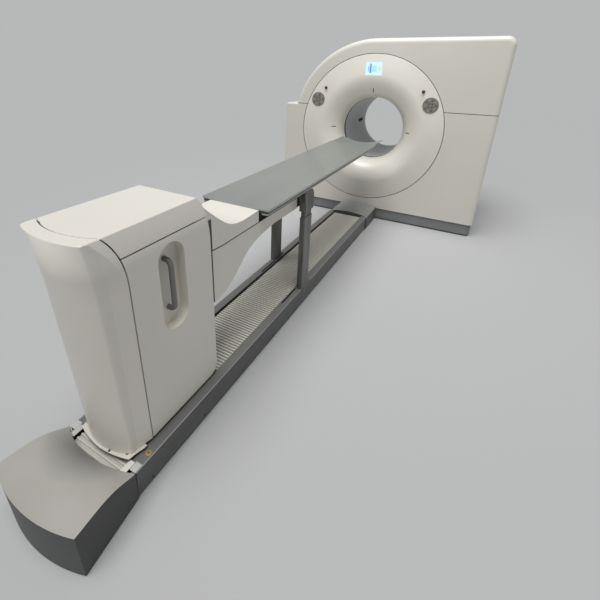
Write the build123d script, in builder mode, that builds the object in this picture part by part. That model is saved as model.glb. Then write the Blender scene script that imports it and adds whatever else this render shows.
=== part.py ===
# Combined PET-CT scanner: a gantry with a round bore, and a patient bed on a long floor base.
# Millimetres. X is to the right seen from the bed, Y runs into the bore, Z is up.
# The origin is on the floor under the bore's axis, in the plane of the gantry's front.
from build123d import *
import math
import os

os.makedirs("parts", exist_ok=True)

# Gaps that more than one joint of the machine uses
SEAM = 6.0
FINE_SEAM = 3.0
SEAT_GAP = 0.3
RUN_GAP = 0.1

# Gantry body
BORE_R = 350.0
CROWN_R = 950.0
BAY_REACH = 312.0
SHOULDER_REACH = 100.0
SHOULDER_Z = 1290.0
GANTRY_DEPTH = 1300.0
GANTRY_CORNER_R = 85.0
GANTRY_EDGE_R = 48.0
SHOULDER_CORNER_R = 20.0
SHOULDER_EDGE_R = 15.0
COVER_WALL = 6.0
FRONT_COVER_DEPTH = 260.0
REAR_COVER_DEPTH = 220.0

# Ring covers round the bore
RING_INSET = 144.0
RING_LIP_R = 3.0
RING_FOOT = 103.0
FLAT_BAND = 206.0
FLARE_DEPTH = 220.0
REAR_RING_R = 640.0
REAR_FLARE_R = 560.0
REAR_FLARE_DEPTH = 216.0
RING_FLANGE = 34.0

# Bore
WINDOW_WIDTH = 40.0
WINDOW_WALL = 3.0
LINER_WALL = 6.0
REAR_RIM_WIDTH = 38.0
LINER_SLOT_Y = 890.0
LINER_SLOT_LENGTH = 190.0
LINER_SLOT_HEIGHT = 60.0

# Plinth and gantry base frame
PLINTH_TOP = 134.0
PLINTH_BOTTOM = 14.0
PLINTH_INSET = 12.0
PLINTH_CORNER_R = 55.0
BASE_BEAM = 90.0
BASE_BEAM_Z0 = 20.0
BASE_BEAM_Z1 = 120.0
BASE_MARGIN = 70.0
PORTAL_TUBE = 40.0
PORTAL_DEPTH = 100.0
PORTAL_SHOULDER_DROP = 75.0
ANCHOR_PAD_R = 70.0
ANCHOR_HOLE_R = 9.0
ANCHOR_SIDE_MARGIN = 206.0
ANCHOR_END_MARGIN = 150.0

# Display, key panels, stop buttons and laser windows
DISPLAY_X = -6.0
DISPLAY_DROP = 154.0
DISPLAY_WIDTH = 178.0
DISPLAY_HEIGHT = 135.0
DISPLAY_CORNER_R = 9.0
DISPLAY_DEPTH = 22.0
KEY_PANEL_INSET = 179.0
KEY_PANEL_RISE = 309.0
KEY_PANEL_R = 80.0
KEY_PANEL_PROUD = 4.0
STOP_INSET = 269.0
STOP_RISE = 441.0
STOP_HEAD_R = 15.0
STOP_STEM_R = 9.0
STOP_COLLAR_R = 18.0
STOP_COLLAR_PROUD = 3.0
STOP_HEAD_THICK = 10.0
STOP_TRAVEL = 4.0
LASER_R = 430.0
LASER_LENGTH = 44.0
LASER_WIDTH = 9.0

# CT rotor and its stand
HUB_R = 385.0
HUB_WALL = 12.0
DRUM_Y = 330.0
DRUM_PLATE = 15.0
DRUM_R = 780.0
DRUM_RIM = 45.0
BEARING_WALL = 55.0
BEARING_WIDTH = 50.0
STAND_PLATE = 40.0
CT_STAND_R = 620.0
CT_LEG_X = 360.0
CT_LEG_WIDTH = 150.0
TUBE_ORBIT = 640.0
TUBE_R = 85.0
TUBE_LENGTH = 150.0
DETECTOR_RADIUS = 1050.0
DETECTOR_THICK = 60.0
DETECTOR_HALF_ANGLE = 28.0
DETECTOR_LENGTH = 140.0

# PET detector ring and its stand
PET_Y = 600.0
PET_LENGTH = 280.0
PET_INNER_R = 372.0
PET_OUTER_R = 480.0
MODULE_COUNT = 36
PET_STAND_R = 560.0
PET_PLATE = 30.0

# Bed base
BED_END_Y = -3940.0
CHASSIS_GANTRY_Y = -440.0
CHASSIS_HALF = 196.0
CHASSIS_WALL = 8.0
CHASSIS_FLOOR = 12.0
STRIP_BOTTOM = 152.0
RAIL_TOP = 164.0
STRIP_INNER = 160.0
RAIL_OUTER = 216.0
SKIRT_FOOT = 206.0
SKIRT_WALL = 6.0
SKIRT_BOTTOM = 14.0
RAIL_EDGE_R = 6.0
RAIL_END_Y = -3700.0
RAIL_SEAM_Y = -2100.0
BED_ANCHOR_X = 74.0
BED_ANCHOR_HOLE_R = 7.0
BED_ANCHOR_TOWER_Y = -3560.0
BED_ANCHOR_GANTRY_Y = -760.0

# Guide rails, drive spine and slatted cover
GUIDE_X = 118.0
GUIDE_WIDTH = 30.0
GUIDE_HEIGHT = 38.0
GUIDE_WAIST = 6.0
SPINE_HALF = 45.0
SPINE_WALL = 6.0
SPINE_TOP = 136.0
SLAT_HALF = 149.0
SLAT_FLOOR = 8.0
SLAT_TOP = 150.0
SLAT_PITCH = 21.6
SLAT_RIB = 12.0
SLAT_RIB_TAPER = 2.0
SLAT_END_Y = -3790.0

# Dock between gantry and bed, hood and end cap
DOCK_HALF = 212.0
DOCK_REACH = 150.0
DOCK_THICK = 12.0
HOOD_Y = -420.0
HOOD_ARC = 14.0
HOOD_TOP = 187.0
HOOD_EAVE = 153.0
HOOD_CORNER_R = 28.0
HOOD_WALL = 5.0
HOOD_LIP_Z = 126.0
CAP_WALL = 6.0
CAP_START_Y = -3704.0
CAP_INNER_MID_Y = -3760.0
CAP_END_Y = -3985.0
CAP_OUTER_MID_Y = -4030.0
CAP_FOOT_HALF = 210.0
CAP_START_HALF = 219.0
CAP_END_HALF = 249.0
CAP_SHOULDER_Y = -3800.0
CAP_SHOULDER_Z = 212.0
CAP_END_Z = 236.0
CAP_BOTTOM = 4.0

# Support posts with telescoping heads and rollers
POST_INNER = 178.0
POST_WIDTH = 115.0
POST_NEAR_Y = -2125.0
POST_FAR_Y = -1826.0
POST_WALL = 4.0
POST_FOOT_R = 50.0
POST_FLOOR_Z = 200.0
POST_SLOT_LENGTH = 220.0
POST_SLOT_WIDTH = 12.0
STEM_BAND = 45.0
STEM_ENGAGED = 230.0
STEM_GAP = 0.5
HEAD_BOTTOM = 790.0
HEAD_WALL = 6.0
HEAD_DROP = 4.0
HEAD_LEAN = 32.0
HEAD_LEAN_Z = 900.0
HEAD_LEAN_RISE = 60.0
HEAD_CORNER_R = 55.0
ROLLER_R = 20.0
ROLLER_WIDTH = 24.0
ROLLER_PIN_R = 5.0
ROLLER_POCKET_GAP = 2.0

# Travel of the lift
LIFT_STROKE = 130.0

# Tower
TOWER_HALF = 168.0
TOWER_WALL = 5.0
TOWER_TOP = 1197.0
TOWER_BOTTOM = 182.0
DOOR_TOP = 1088.0
DOOR_FRONT_Y = -3090.0
TOP_FRONT_Y = -3175.0
DOOR_END_Y = -3560.0
STRIP_START = 6.0
CREASE_HALF = 150.0
CREASE_Y = -3627.0
CREASE_TOP_HALF = 167.0
CREASE_TOP_Y = -3697.0
END_CORNER_HALF = 143.0
END_CORNER_Y = -3660.0
END_CORNER_TOP_HALF = 158.0
END_CORNER_TOP_Y = -3710.0
END_FACE_Y = -3698.0
END_FACE_TOP_Y = -3734.0
TOWER_FLARE_Z = 940.0
TOWER_EDGE_R = 6.0
SEAM_TOP_Y = -3648.0
TOP_SEAM_BOW = 40.0
SEAM_BEND_BACK = 20.0
SEAM_BEND_DROP = 130.0
FRONT_ROLL_BACK = 18.0
FRONT_ROLL_DROP = 140.0
DOOR_CORNER_R = 60.0

# Handle recess and grab handle in each door
RECESS_Y = -3339.0
RECESS_Z = 850.0
RECESS_WIDTH = 150.0
RECESS_HEIGHT = 413.0
RECESS_DEPTH = 50.0
RECESS_WALL = 4.0
HANDLE_R = 12.0
HANDLE_HALF_LENGTH = 120.0
HANDLE_BEND_R = 26.0
HANDLE_STAND_OFF = 40.0

# Carriage
DECK_BOTTOM = 168.0
DECK_THICK = 12.0
DECK_HALF = 157.0
DECK_END_Y = -3600.0
DECK_FRONT_Y = -3110.0
SIDE_PLATE = 6.0
SIDE_PLATE_END_Y = -3560.0
SIDE_PLATE_FRONT_Y = -3190.0
BLOCK_BOTTOM = 24.0
BLOCK_TOP = 84.0
BLOCK_INNER = 88.0
BLOCK_LENGTH = 110.0
BLOCK_END_Y = -3500.0
BLOCK_FRONT_Y = -3250.0
COIL_GAP = 0.8
COIL_BOTTOM = 40.0
COIL_TOP = 100.0
COIL_LENGTH = 140.0
SKIRT_RING_PROUD = 11.0
SKIRT_RING_EAR = 172.0

# Mast and lift
MAST_HALF = 100.0
WING_GAP = 0.6
MAST_FRONT_Y = -3362.0
MAST_WALL = 12.0
MAST_TOP = 1080.0
LIFT_RAIL_X = 82.0
LIFT_RAIL_WIDTH = 16.0
LIFT_RAIL_DEPTH = 16.0
SLIDE_HALF = 108.0
SLIDE_DEPTH = 40.0
SLIDE_BOTTOM = 470.0
SLIDE_TOP = 930.0
PANEL_Y = -3186.0
PANEL_THICK = 4.0
PANEL_SLOT_TOP = 1000.0

# Arm, tray and pallet
ARM_HALF = 166.0
ARM_NECK_HALF = 156.0
ARM_WALL = 5.0
ARM_CORE_HALF = 96.0
ARM_CORE_GAP = 12.0
BLOCK_TIP_Y = -2035.0
BLOCK_REACH = 125.0
BEAM_BOTTOM = 822.0
BEAM_TOP = 896.0
BEAM_START_Y = -2510.0
POCKET_Y = -3240.0
POCKET_PITCH = 150.0
POCKET_COUNT = 3
POCKET_LENGTH = 110.0
POCKET_HEIGHT = 120.0
POCKET_DEPTH = 60.0
TRAY_SEAM_Z = 900.0
TRAY_HALF = 168.0
TRAY_NECK_HALF = 158.0
TRAY_WALL = 5.0
TRAY_FLOOR_Y = -2840.0
TRAY_FLOOR_Z = 967.0
TRAY_END_Z = 970.0
NECK_BLEND = 90.0
TRAY_BOSS_LENGTH = 120.0
TRAY_END_Y = -2660.0
CREST_Y = -3171.0
CREST_Z = 1192.0
ARM_TIP_Z = 604.0
CORE_TOP = 890.0
PALLET_FOOT_Y = -2655.0
PALLET_HEAD_Y = -480.0
CRADLE_END_Y = -155.0
PALLET_HALF = 231.0
PALLET_TOP = 983.0
PALLET_RIM = 14.0
PALLET_SAG = 20.0
PALLET_NECK = 7.0
PALLET_THICK = 25.0
RUNNER_BOTTOM = 945.0
RUNNER_HEIGHT = 10.0
RUNNER_WIDTH = 40.0
RUNNER_END_Y = -505.0
CRADLE_HALF = 220.0
CRADLE_SAG = 50.0
CRADLE_THICK = 15.0
CRADLE_BLEND = 110.0


def across(y):
    """A vertical plane at depth y: its x is X and its y is Z. Positive extrusion runs towards the bed."""
    return Plane.XZ.offset(-y)


def beside(x):
    """A vertical plane along the bed at x: its x is Y and its y is Z."""
    return Plane.YZ.offset(x)


def level(z):
    """A horizontal plane at height z."""
    return Plane.XY.offset(z)


def save(part, node):
    """Label a finished piece and write its STEP file."""
    part.label = node
    export_step(part, f"parts/{node}.step")


def box_between(x0, x1, y0, y1, z0, z1):
    """A plain block from its limits, for cutting and intersecting."""
    with BuildPart() as block:
        with BuildSketch(level(z0)):
            with Locations(((x0 + x1) / 2, (y0 + y1) / 2)):
                Rectangle(x1 - x0, y1 - y0)
        extrude(amount=z1 - z0)
    return block.part


SIDES = (-1, 1)
RIGHT_X = CROWN_R + BAY_REACH
SHOULDER_X = CROWN_R + SHOULDER_REACH
SEAM_R = CROWN_R - RING_INSET
FLARE_R = SEAM_R - FLAT_BAND
ISO_Z = PLINTH_TOP + RING_FOOT + SEAM_R
BORE_AXIS = Axis((0, 0, ISO_Z), (0, 1, 0))
DISPLAY_Z = ISO_Z + SEAM_R - DISPLAY_DROP
KEY_PANEL_X = SEAM_R - KEY_PANEL_INSET
KEY_PANEL_Z = ISO_Z + KEY_PANEL_RISE
STOP_X = SEAM_R - STOP_INSET
STOP_Z = ISO_Z + STOP_RISE
LINER_Y0 = FLARE_DEPTH + WINDOW_WIDTH
REAR_RIM_Y1 = GANTRY_DEPTH - REAR_FLARE_DEPTH
LINER_Y1 = REAR_RIM_Y1 - REAR_RIM_WIDTH


# Gantry shell: a body with a round crown on the left and a low shoulder beside it, hollow and open below
def crown_outline(inset, foot_z):
    """Front outline of the crowned body about the bore's axis, drawn in by inset."""
    crown = CROWN_R - inset
    right = RIGHT_X - inset
    foot = foot_z - ISO_Z
    with BuildSketch() as outline:
        with BuildLine():
            CenterArc((0, 0), crown, 90, 90)
            Polyline((-crown, 0), (-crown, foot), (right, foot), (right, crown), (0, crown))
        make_face()
        fillet(outline.vertices().sort_by_distance((right, crown))[0], GANTRY_CORNER_R - inset)
    return outline.sketch


def shoulder_outline(inset, foot_z):
    """Front outline of the shoulder block about the bore's axis, drawn in by inset."""
    left = inset - SHOULDER_X
    top = SHOULDER_Z - ISO_Z - inset
    foot = foot_z - ISO_Z
    with BuildSketch() as outline:
        with BuildLine():
            Polyline((left, foot), (left, top), (-CROWN_R / 2, top), (-CROWN_R / 2, foot), close=True)
        make_face()
        fillet(outline.vertices().sort_by_distance((left, top))[0], SHOULDER_CORNER_R - inset)
    return outline.sketch


def rounded_slab(outline, inset, foot_z, edge_r):
    """An outline carried through the gantry's depth, with its front and rear edges rounded."""
    with BuildPart() as slab:
        with BuildSketch(across(inset)):
            with Locations((0, ISO_Z)):
                add(outline)
        extrude(amount=2 * inset - GANTRY_DEPTH)
        for end in (0, -1):
            rim = slab.faces().sort_by(Axis.Y)[end].edges()
            fillet([edge for edge in rim if edge.center().Z > foot_z + 1], edge_r - inset)
    return slab.part


def gantry_solid(inset, foot_z):
    """The gantry's full body drawn in by inset."""
    with BuildPart() as body:
        add(rounded_slab(crown_outline(inset, foot_z), inset, foot_z, GANTRY_EDGE_R))
        add(rounded_slab(shoulder_outline(inset, foot_z), inset, foot_z, SHOULDER_EDGE_R))
    return body.part


with BuildPart() as gantry_shell:
    add(gantry_solid(0, PLINTH_TOP))
    add(gantry_solid(COVER_WALL, PLINTH_TOP - 20), mode=Mode.SUBTRACT)
    with BuildSketch(across(0)):
        with Locations((0, ISO_Z)):
            Circle(SEAM_R)
    extrude(amount=-FRONT_COVER_DEPTH, mode=Mode.SUBTRACT)
    with BuildSketch(across(GANTRY_DEPTH)):
        with Locations((0, ISO_Z)):
            Circle(REAR_RING_R)
    extrude(amount=REAR_COVER_DEPTH, mode=Mode.SUBTRACT)

REACH = 2 * CROWN_R + RIGHT_X
SIDE_Y0 = FRONT_COVER_DEPTH + SEAM
SIDE_Y1 = GANTRY_DEPTH - REAR_COVER_DEPTH - SEAM
COVER_ZONES = {
    "front_lower_cover": (-REACH, REACH, -1, FRONT_COVER_DEPTH, PLINTH_TOP, SHOULDER_Z),
    "front_upper_cover": (-REACH, REACH, -1, FRONT_COVER_DEPTH, SHOULDER_Z + SEAM, REACH),
    "left_side_cover": (-REACH, 0, SIDE_Y0, SIDE_Y1, PLINTH_TOP, SHOULDER_Z),
    "right_side_cover": (0, REACH, SIDE_Y0, SIDE_Y1, PLINTH_TOP, SHOULDER_Z),
    "gantry_top_cover": (-REACH, REACH, SIDE_Y0, SIDE_Y1, SHOULDER_Z + SEAM, REACH),
    "rear_cover": (-REACH, REACH, SIDE_Y1 + SEAM, GANTRY_DEPTH + 1, PLINTH_TOP, REACH),
}

# The base frame under the covers, with inner posts that the covers are screwed to
BASE_X0 = BASE_MARGIN - SHOULDER_X
BASE_X1 = RIGHT_X - BASE_MARGIN
BASE_Y1 = GANTRY_DEPTH - BASE_MARGIN
BEARING_Y = DRUM_Y + BASE_BEAM
PET_PLATE_Y = PET_Y + PET_LENGTH
for node, zone in COVER_ZONES.items():
    with BuildPart() as cover:
        add(gantry_shell.part)
        add(box_between(*zone), mode=Mode.INTERSECT)
    save(cover.part, node)


# Ring covers: a flat face that rolls into the bore as a quarter ellipse, with a turned-in flange
def ring_profile(outer_r, flare_r, depth, wall):
    """Half section of a ring cover: x is the depth behind its face, y is the radius."""
    span = flare_r - BORE_R
    with BuildSketch() as profile:
        with BuildLine():
            Line((0, outer_r), (0, flare_r))
            EllipticalCenterArc((depth, flare_r), depth, span, start_angle=180, arc_size=90)
            Line((depth, BORE_R), (depth, BORE_R + wall))
            EllipticalCenterArc(
                (depth, flare_r), depth - wall, span - wall, start_angle=180, arc_size=90
            )
            Polyline(
                (wall, flare_r), (wall, outer_r - wall), (RING_FLANGE, outer_r - wall),
                (RING_FLANGE, outer_r), (0, outer_r),
            )
        make_face()
    return profile.sketch


FRONT_FACE = Plane(origin=(0, 0, ISO_Z), x_dir=(0, 1, 0), z_dir=(1, 0, 0))
REAR_FACE = Plane(origin=(0, GANTRY_DEPTH, ISO_Z), x_dir=(0, -1, 0), z_dir=(-1, 0, 0))

with BuildPart() as front_ring:
    with BuildSketch(FRONT_FACE):
        add(ring_profile(SEAM_R - SEAM, FLARE_R, FLARE_DEPTH, COVER_WALL))
    revolve(axis=BORE_AXIS)
    outer_edge = front_ring.faces().filter_by(Plane.XZ).sort_by(Axis.Y)[0].edges().sort_by(SortBy.LENGTH)[-1]
    fillet(outer_edge, RING_LIP_R)
flare_skin = front_ring.part


def laser_zone(angle, clear):
    """A block round one laser slot in the flare, at an angle round the bore from straight up."""
    half_width = LASER_WIDTH / 2 - clear
    half_length = LASER_LENGTH / 2 - clear
    block = box_between(
        -half_width, half_width, 0, FLARE_DEPTH, LASER_R - half_length, LASER_R + half_length
    )
    return Pos(0, 0, ISO_Z) * Rot(0, angle, 0) * block


LASER_ANGLES = (0, 90, -90)

with BuildPart() as front_ring_cover:
    add(flare_skin)
    with BuildSketch(across(0)):
        with Locations((DISPLAY_X, DISPLAY_Z)):
            RectangleRounded(DISPLAY_WIDTH, DISPLAY_HEIGHT, DISPLAY_CORNER_R)
        with Locations([(side * KEY_PANEL_X, KEY_PANEL_Z) for side in SIDES]):
            Circle(KEY_PANEL_R)
        with Locations([(side * STOP_X, STOP_Z) for side in SIDES]):
            Circle(STOP_COLLAR_R)
    extrude(amount=-2 * COVER_WALL, mode=Mode.SUBTRACT)
    for angle in LASER_ANGLES:
        add(laser_zone(angle, 0), mode=Mode.SUBTRACT)
save(front_ring_cover.part, "front_ring_cover")

with BuildPart() as rear_ring_cover:
    with BuildSketch(REAR_FACE):
        add(ring_profile(REAR_RING_R - SEAM, REAR_FLARE_R, REAR_FLARE_DEPTH, COVER_WALL))
    revolve(axis=BORE_AXIS)
save(rear_ring_cover.part, "rear_ring_cover")


# Bore: scan window, liner with an oval port on the left, and the light rim at the rear
def tube_ring(inner, wall, y0, y1):
    """A plain ring on the bore's axis."""
    with BuildPart() as ring:
        with BuildSketch(across(y0)):
            with Locations((0, ISO_Z)):
                Circle(inner + wall)
                Circle(inner, mode=Mode.SUBTRACT)
        extrude(amount=y0 - y1)
    return ring.part


def port_zone(clear):
    """A block through the liner's left wall, round-ended along the bore."""
    with BuildPart() as port:
        with BuildSketch(beside(-BORE_R - 2 * LINER_WALL)):
            with Locations((LINER_SLOT_Y, ISO_Z)):
                SlotOverall(LINER_SLOT_LENGTH - 2 * clear, LINER_SLOT_HEIGHT - 2 * clear)
        extrude(amount=4 * LINER_WALL)
    return port.part


save(tube_ring(BORE_R, WINDOW_WALL, FLARE_DEPTH + SEAT_GAP, LINER_Y0 - SEAT_GAP), "scan_window")
liner_skin = tube_ring(BORE_R, LINER_WALL, LINER_Y0, LINER_Y1)

with BuildPart() as bore_liner:
    add(liner_skin)
    add(port_zone(0), mode=Mode.SUBTRACT)
save(bore_liner.part, "bore_liner")

save(tube_ring(BORE_R, LINER_WALL, LINER_Y1 + SEAT_GAP, REAR_RIM_Y1 - SEAT_GAP), "bore_rear_ring")

with BuildPart() as laser_windows:
    for angle in LASER_ANGLES:
        with BuildPart(mode=Mode.PRIVATE) as window:
            add(flare_skin)
            add(laser_zone(angle, SEAT_GAP), mode=Mode.INTERSECT)
        add(window.part)
    with BuildPart(mode=Mode.PRIVATE) as port_window:
        add(liner_skin)
        add(port_zone(SEAT_GAP), mode=Mode.INTERSECT)
    add(port_window.part)
save(laser_windows.part, "laser_windows")

# Display, key panels, stop collars and stop buttons on the front ring
with BuildPart() as display_panel:
    with BuildSketch(across(0)):
        with Locations((DISPLAY_X, DISPLAY_Z)):
            RectangleRounded(
                DISPLAY_WIDTH - 2 * SEAT_GAP, DISPLAY_HEIGHT - 2 * SEAT_GAP, DISPLAY_CORNER_R - SEAT_GAP
            )
    extrude(amount=-DISPLAY_DEPTH)
save(display_panel.part, "display_panel")

with BuildPart() as key_panels:
    with BuildSketch(across(-KEY_PANEL_PROUD)):
        with Locations([(side * KEY_PANEL_X, KEY_PANEL_Z) for side in SIDES]):
            Circle(KEY_PANEL_R - SEAT_GAP)
    extrude(amount=-KEY_PANEL_PROUD - 2 * COVER_WALL)
    fillet(key_panels.faces().sort_by(Axis.Y)[0].edges(), KEY_PANEL_PROUD - 1)
    fillet(key_panels.faces().group_by(Axis.Y)[0].sort_by(Axis.X)[-1].edges(), KEY_PANEL_PROUD - 1)
save(key_panels.part, "key_panels")

with BuildPart() as stop_collars:
    with BuildSketch(across(-STOP_COLLAR_PROUD)):
        with Locations([(side * STOP_X, STOP_Z) for side in SIDES]):
            Circle(STOP_COLLAR_R - SEAT_GAP)
            Circle(STOP_STEM_R + RUN_GAP, mode=Mode.SUBTRACT)
    extrude(amount=-STOP_COLLAR_PROUD - 2 * COVER_WALL)
save(stop_collars.part, "stop_collars")

STOP_HEAD_Y = -STOP_COLLAR_PROUD - STOP_TRAVEL - 1 - STOP_HEAD_THICK
for node, side in (("stop_button_left", -1), ("stop_button_right", 1)):
    with BuildPart() as stop_button:
        with BuildSketch(across(STOP_HEAD_Y)):
            with Locations((side * STOP_X, STOP_Z)):
                Circle(STOP_HEAD_R)
        extrude(amount=-STOP_HEAD_THICK)
        fillet(stop_button.faces().sort_by(Axis.Y)[0].edges(), STOP_HEAD_THICK / 2)
        with BuildSketch(across(STOP_HEAD_Y + STOP_HEAD_THICK)):
            with Locations((side * STOP_X, STOP_Z)):
                Circle(STOP_STEM_R)
        extrude(amount=STOP_HEAD_Y + STOP_HEAD_THICK - 3 * COVER_WALL)
    save(stop_button.part, node)

# Plinth band round the foot of the gantry
with BuildPart() as plinth_band:
    width = RIGHT_X + SHOULDER_X - 2 * PLINTH_INSET
    depth = GANTRY_DEPTH - 2 * PLINTH_INSET
    with BuildSketch(level(PLINTH_BOTTOM)):
        with Locations(((RIGHT_X - SHOULDER_X) / 2, GANTRY_DEPTH / 2)):
            RectangleRounded(width, depth, PLINTH_CORNER_R)
            RectangleRounded(
                width - 2 * COVER_WALL, depth - 2 * COVER_WALL, PLINTH_CORNER_R - COVER_WALL,
                mode=Mode.SUBTRACT,
            )
    extrude(amount=PLINTH_TOP - SEAT_GAP - PLINTH_BOTTOM)
save(plinth_band.part, "plinth_band")

# Gantry base frame: beams with anchor pads, and a lug that stands on the dock plate
FRAME_X0 = PLINTH_INSET + COVER_WALL + SEAT_GAP - SHOULDER_X
FRAME_X1 = RIGHT_X - PLINTH_INSET - COVER_WALL - SEAT_GAP
FRAME_WIDTH = FRAME_X1 - FRAME_X0
FRAME_MID_X = (FRAME_X0 + FRAME_X1) / 2
PORTALS_Y = [seam_y - PORTAL_DEPTH / 2 for seam_y in (FRONT_COVER_DEPTH, SIDE_Y1)]
CROSS_BEAMS_Y = (
    BASE_MARGIN, PORTALS_Y[0], BEARING_Y - BASE_BEAM / 4,
    PET_PLATE_Y - BASE_BEAM / 4, PORTALS_Y[1], BASE_Y1 - BASE_BEAM,
)
ANCHORS = [
    (anchor_x, anchor_y)
    for anchor_x in (ANCHOR_SIDE_MARGIN - SHOULDER_X, RIGHT_X - ANCHOR_SIDE_MARGIN)
    for anchor_y in (ANCHOR_END_MARGIN, GANTRY_DEPTH - ANCHOR_END_MARGIN)
]
with BuildPart() as gantry_base:
    with BuildSketch(level(BASE_BEAM_Z0)):
        for beam_y in CROSS_BEAMS_Y:
            with Locations((FRAME_MID_X, beam_y + BASE_BEAM / 2)):
                Rectangle(FRAME_WIDTH, BASE_BEAM)
        for beam_x in (BASE_X0 + BASE_BEAM / 2, 0, BASE_X1 - BASE_BEAM / 2):
            with Locations((beam_x, (BASE_MARGIN + BASE_Y1) / 2)):
                Rectangle(BASE_BEAM, BASE_Y1 - BASE_MARGIN)
    extrude(amount=BASE_BEAM_Z1 - BASE_BEAM_Z0)
    with BuildSketch(level(0)):
        with Locations(ANCHORS):
            Circle(ANCHOR_PAD_R)
    extrude(amount=BASE_BEAM_Z0 + CHASSIS_FLOOR)
    with BuildSketch(level(DOCK_THICK)):
        with Locations((0, (BASE_MARGIN + DOCK_REACH) / 2)):
            Rectangle(DOCK_HALF, DOCK_REACH - BASE_MARGIN)
    extrude(amount=BASE_BEAM_Z0 - DOCK_THICK)
    with BuildSketch(level(0)):
        with Locations(ANCHORS):
            Circle(ANCHOR_HOLE_R)
    extrude(amount=BASE_BEAM_Z1, mode=Mode.SUBTRACT)
    right_x = RIGHT_X - COVER_WALL - SEAT_GAP
    left_x = COVER_WALL + SEAT_GAP - SHOULDER_X
    lintel_z = ISO_Z + CROWN_R - COVER_WALL - SEAT_GAP
    sill_z = PLINTH_TOP + SEAM
    for portal_y in PORTALS_Y:
        with BuildSketch(across(portal_y)):
            with BuildLine():
                Polyline(
                    (FRAME_X1, BASE_BEAM_Z1), (FRAME_X1, sill_z), (right_x, sill_z),
                    (right_x, lintel_z - GANTRY_CORNER_R), (right_x - GANTRY_CORNER_R, lintel_z),
                    (0, lintel_z), (0, lintel_z - PORTAL_TUBE),
                    (right_x - GANTRY_CORNER_R - PORTAL_TUBE / 2, lintel_z - PORTAL_TUBE),
                    (right_x - PORTAL_TUBE, lintel_z - GANTRY_CORNER_R - PORTAL_TUBE / 2),
                    (right_x - PORTAL_TUBE, BASE_BEAM_Z1), close=True,
                )
            make_face()
            with BuildLine():
                Polyline(
                    (FRAME_X0, BASE_BEAM_Z1), (FRAME_X0, sill_z), (left_x, sill_z),
                    (left_x, SHOULDER_Z - PORTAL_SHOULDER_DROP),
                    (left_x + PORTAL_TUBE, SHOULDER_Z - PORTAL_SHOULDER_DROP),
                    (left_x + PORTAL_TUBE, BASE_BEAM_Z1), close=True,
                )
            make_face()
        extrude(amount=-PORTAL_DEPTH)
save(gantry_base.part, "gantry_base")


# CT stand, main bearing, rotor drum, X-ray tube and detector arc
def stand_plate(y, thick, inner_r, outer_r, leg_x, leg_width):
    """A ring plate on two legs that stand on the base frame."""
    with BuildPart() as stand:
        with BuildSketch(across(y)):
            with Locations((0, ISO_Z)):
                Circle(outer_r)
            for side in SIDES:
                with Locations((side * leg_x, (BASE_BEAM_Z1 + ISO_Z) / 2)):
                    Rectangle(leg_width, ISO_Z - BASE_BEAM_Z1)
            with Locations((0, ISO_Z)):
                Circle(inner_r, mode=Mode.SUBTRACT)
        extrude(amount=-thick)
    return stand.part


BEARING_R = HUB_R + HUB_WALL + SEAT_GAP
save(tube_ring(BEARING_R, BEARING_WALL, BEARING_Y, BEARING_Y + BEARING_WIDTH), "main_bearing")
ct_stand = stand_plate(
    BEARING_Y, STAND_PLATE, BEARING_R + BEARING_WALL, CT_STAND_R, CT_LEG_X, CT_LEG_WIDTH
)
save(ct_stand, "ct_stand")

with BuildPart() as rotor_drum:
    with BuildSketch(FRONT_FACE):
        with BuildLine():
            Polyline(
                (DRUM_Y, HUB_R), (BEARING_Y + BEARING_WIDTH, HUB_R),
                (BEARING_Y + BEARING_WIDTH, HUB_R + HUB_WALL), (DRUM_Y + DRUM_PLATE, HUB_R + HUB_WALL),
                (DRUM_Y + DRUM_PLATE, DRUM_R), (DRUM_Y - DRUM_RIM, DRUM_R),
                (DRUM_Y - DRUM_RIM, DRUM_R - HUB_WALL), (DRUM_Y, DRUM_R - HUB_WALL), (DRUM_Y, HUB_R),
            )
        make_face()
    revolve(axis=BORE_AXIS)
save(rotor_drum.part, "rotor_drum")

with BuildPart() as xray_tube:
    with BuildSketch(across(DRUM_Y)):
        with Locations((0, ISO_Z + TUBE_ORBIT)):
            Circle(TUBE_R)
            Rectangle(3 * TUBE_R, TUBE_R)
    extrude(amount=TUBE_LENGTH)
save(xray_tube.part, "xray_tube")

FOCUS_Z = ISO_Z + TUBE_ORBIT
with BuildPart() as detector_arc:
    with BuildSketch(across(DRUM_Y)):
        with BuildLine():
            start = 270 - DETECTOR_HALF_ANGLE
            inner = CenterArc((0, FOCUS_Z), DETECTOR_RADIUS, start, 2 * DETECTOR_HALF_ANGLE)
            outer = CenterArc(
                (0, FOCUS_Z), DETECTOR_RADIUS + DETECTOR_THICK, start, 2 * DETECTOR_HALF_ANGLE
            )
            Line(inner @ 0, outer @ 0)
            Line(inner @ 1, outer @ 1)
        make_face()
    extrude(amount=DETECTOR_LENGTH)
save(detector_arc.part, "detector_arc")

# PET ring: a ring of detector modules on its own stand plate, which also holds the liner
with BuildPart() as pet_detector_ring:
    with BuildSketch(across(PET_Y)):
        with Locations((0, ISO_Z)):
            RegularPolygon(PET_OUTER_R, MODULE_COUNT)
            Circle(PET_INNER_R, mode=Mode.SUBTRACT)
    extrude(amount=-PET_LENGTH)
save(pet_detector_ring.part, "pet_detector_ring")
pet_stand = stand_plate(
    PET_PLATE_Y, PET_PLATE, BORE_R + LINER_WALL + SEAT_GAP, PET_STAND_R, CT_LEG_X, CT_LEG_WIDTH
)
save(pet_stand, "pet_stand")

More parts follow.
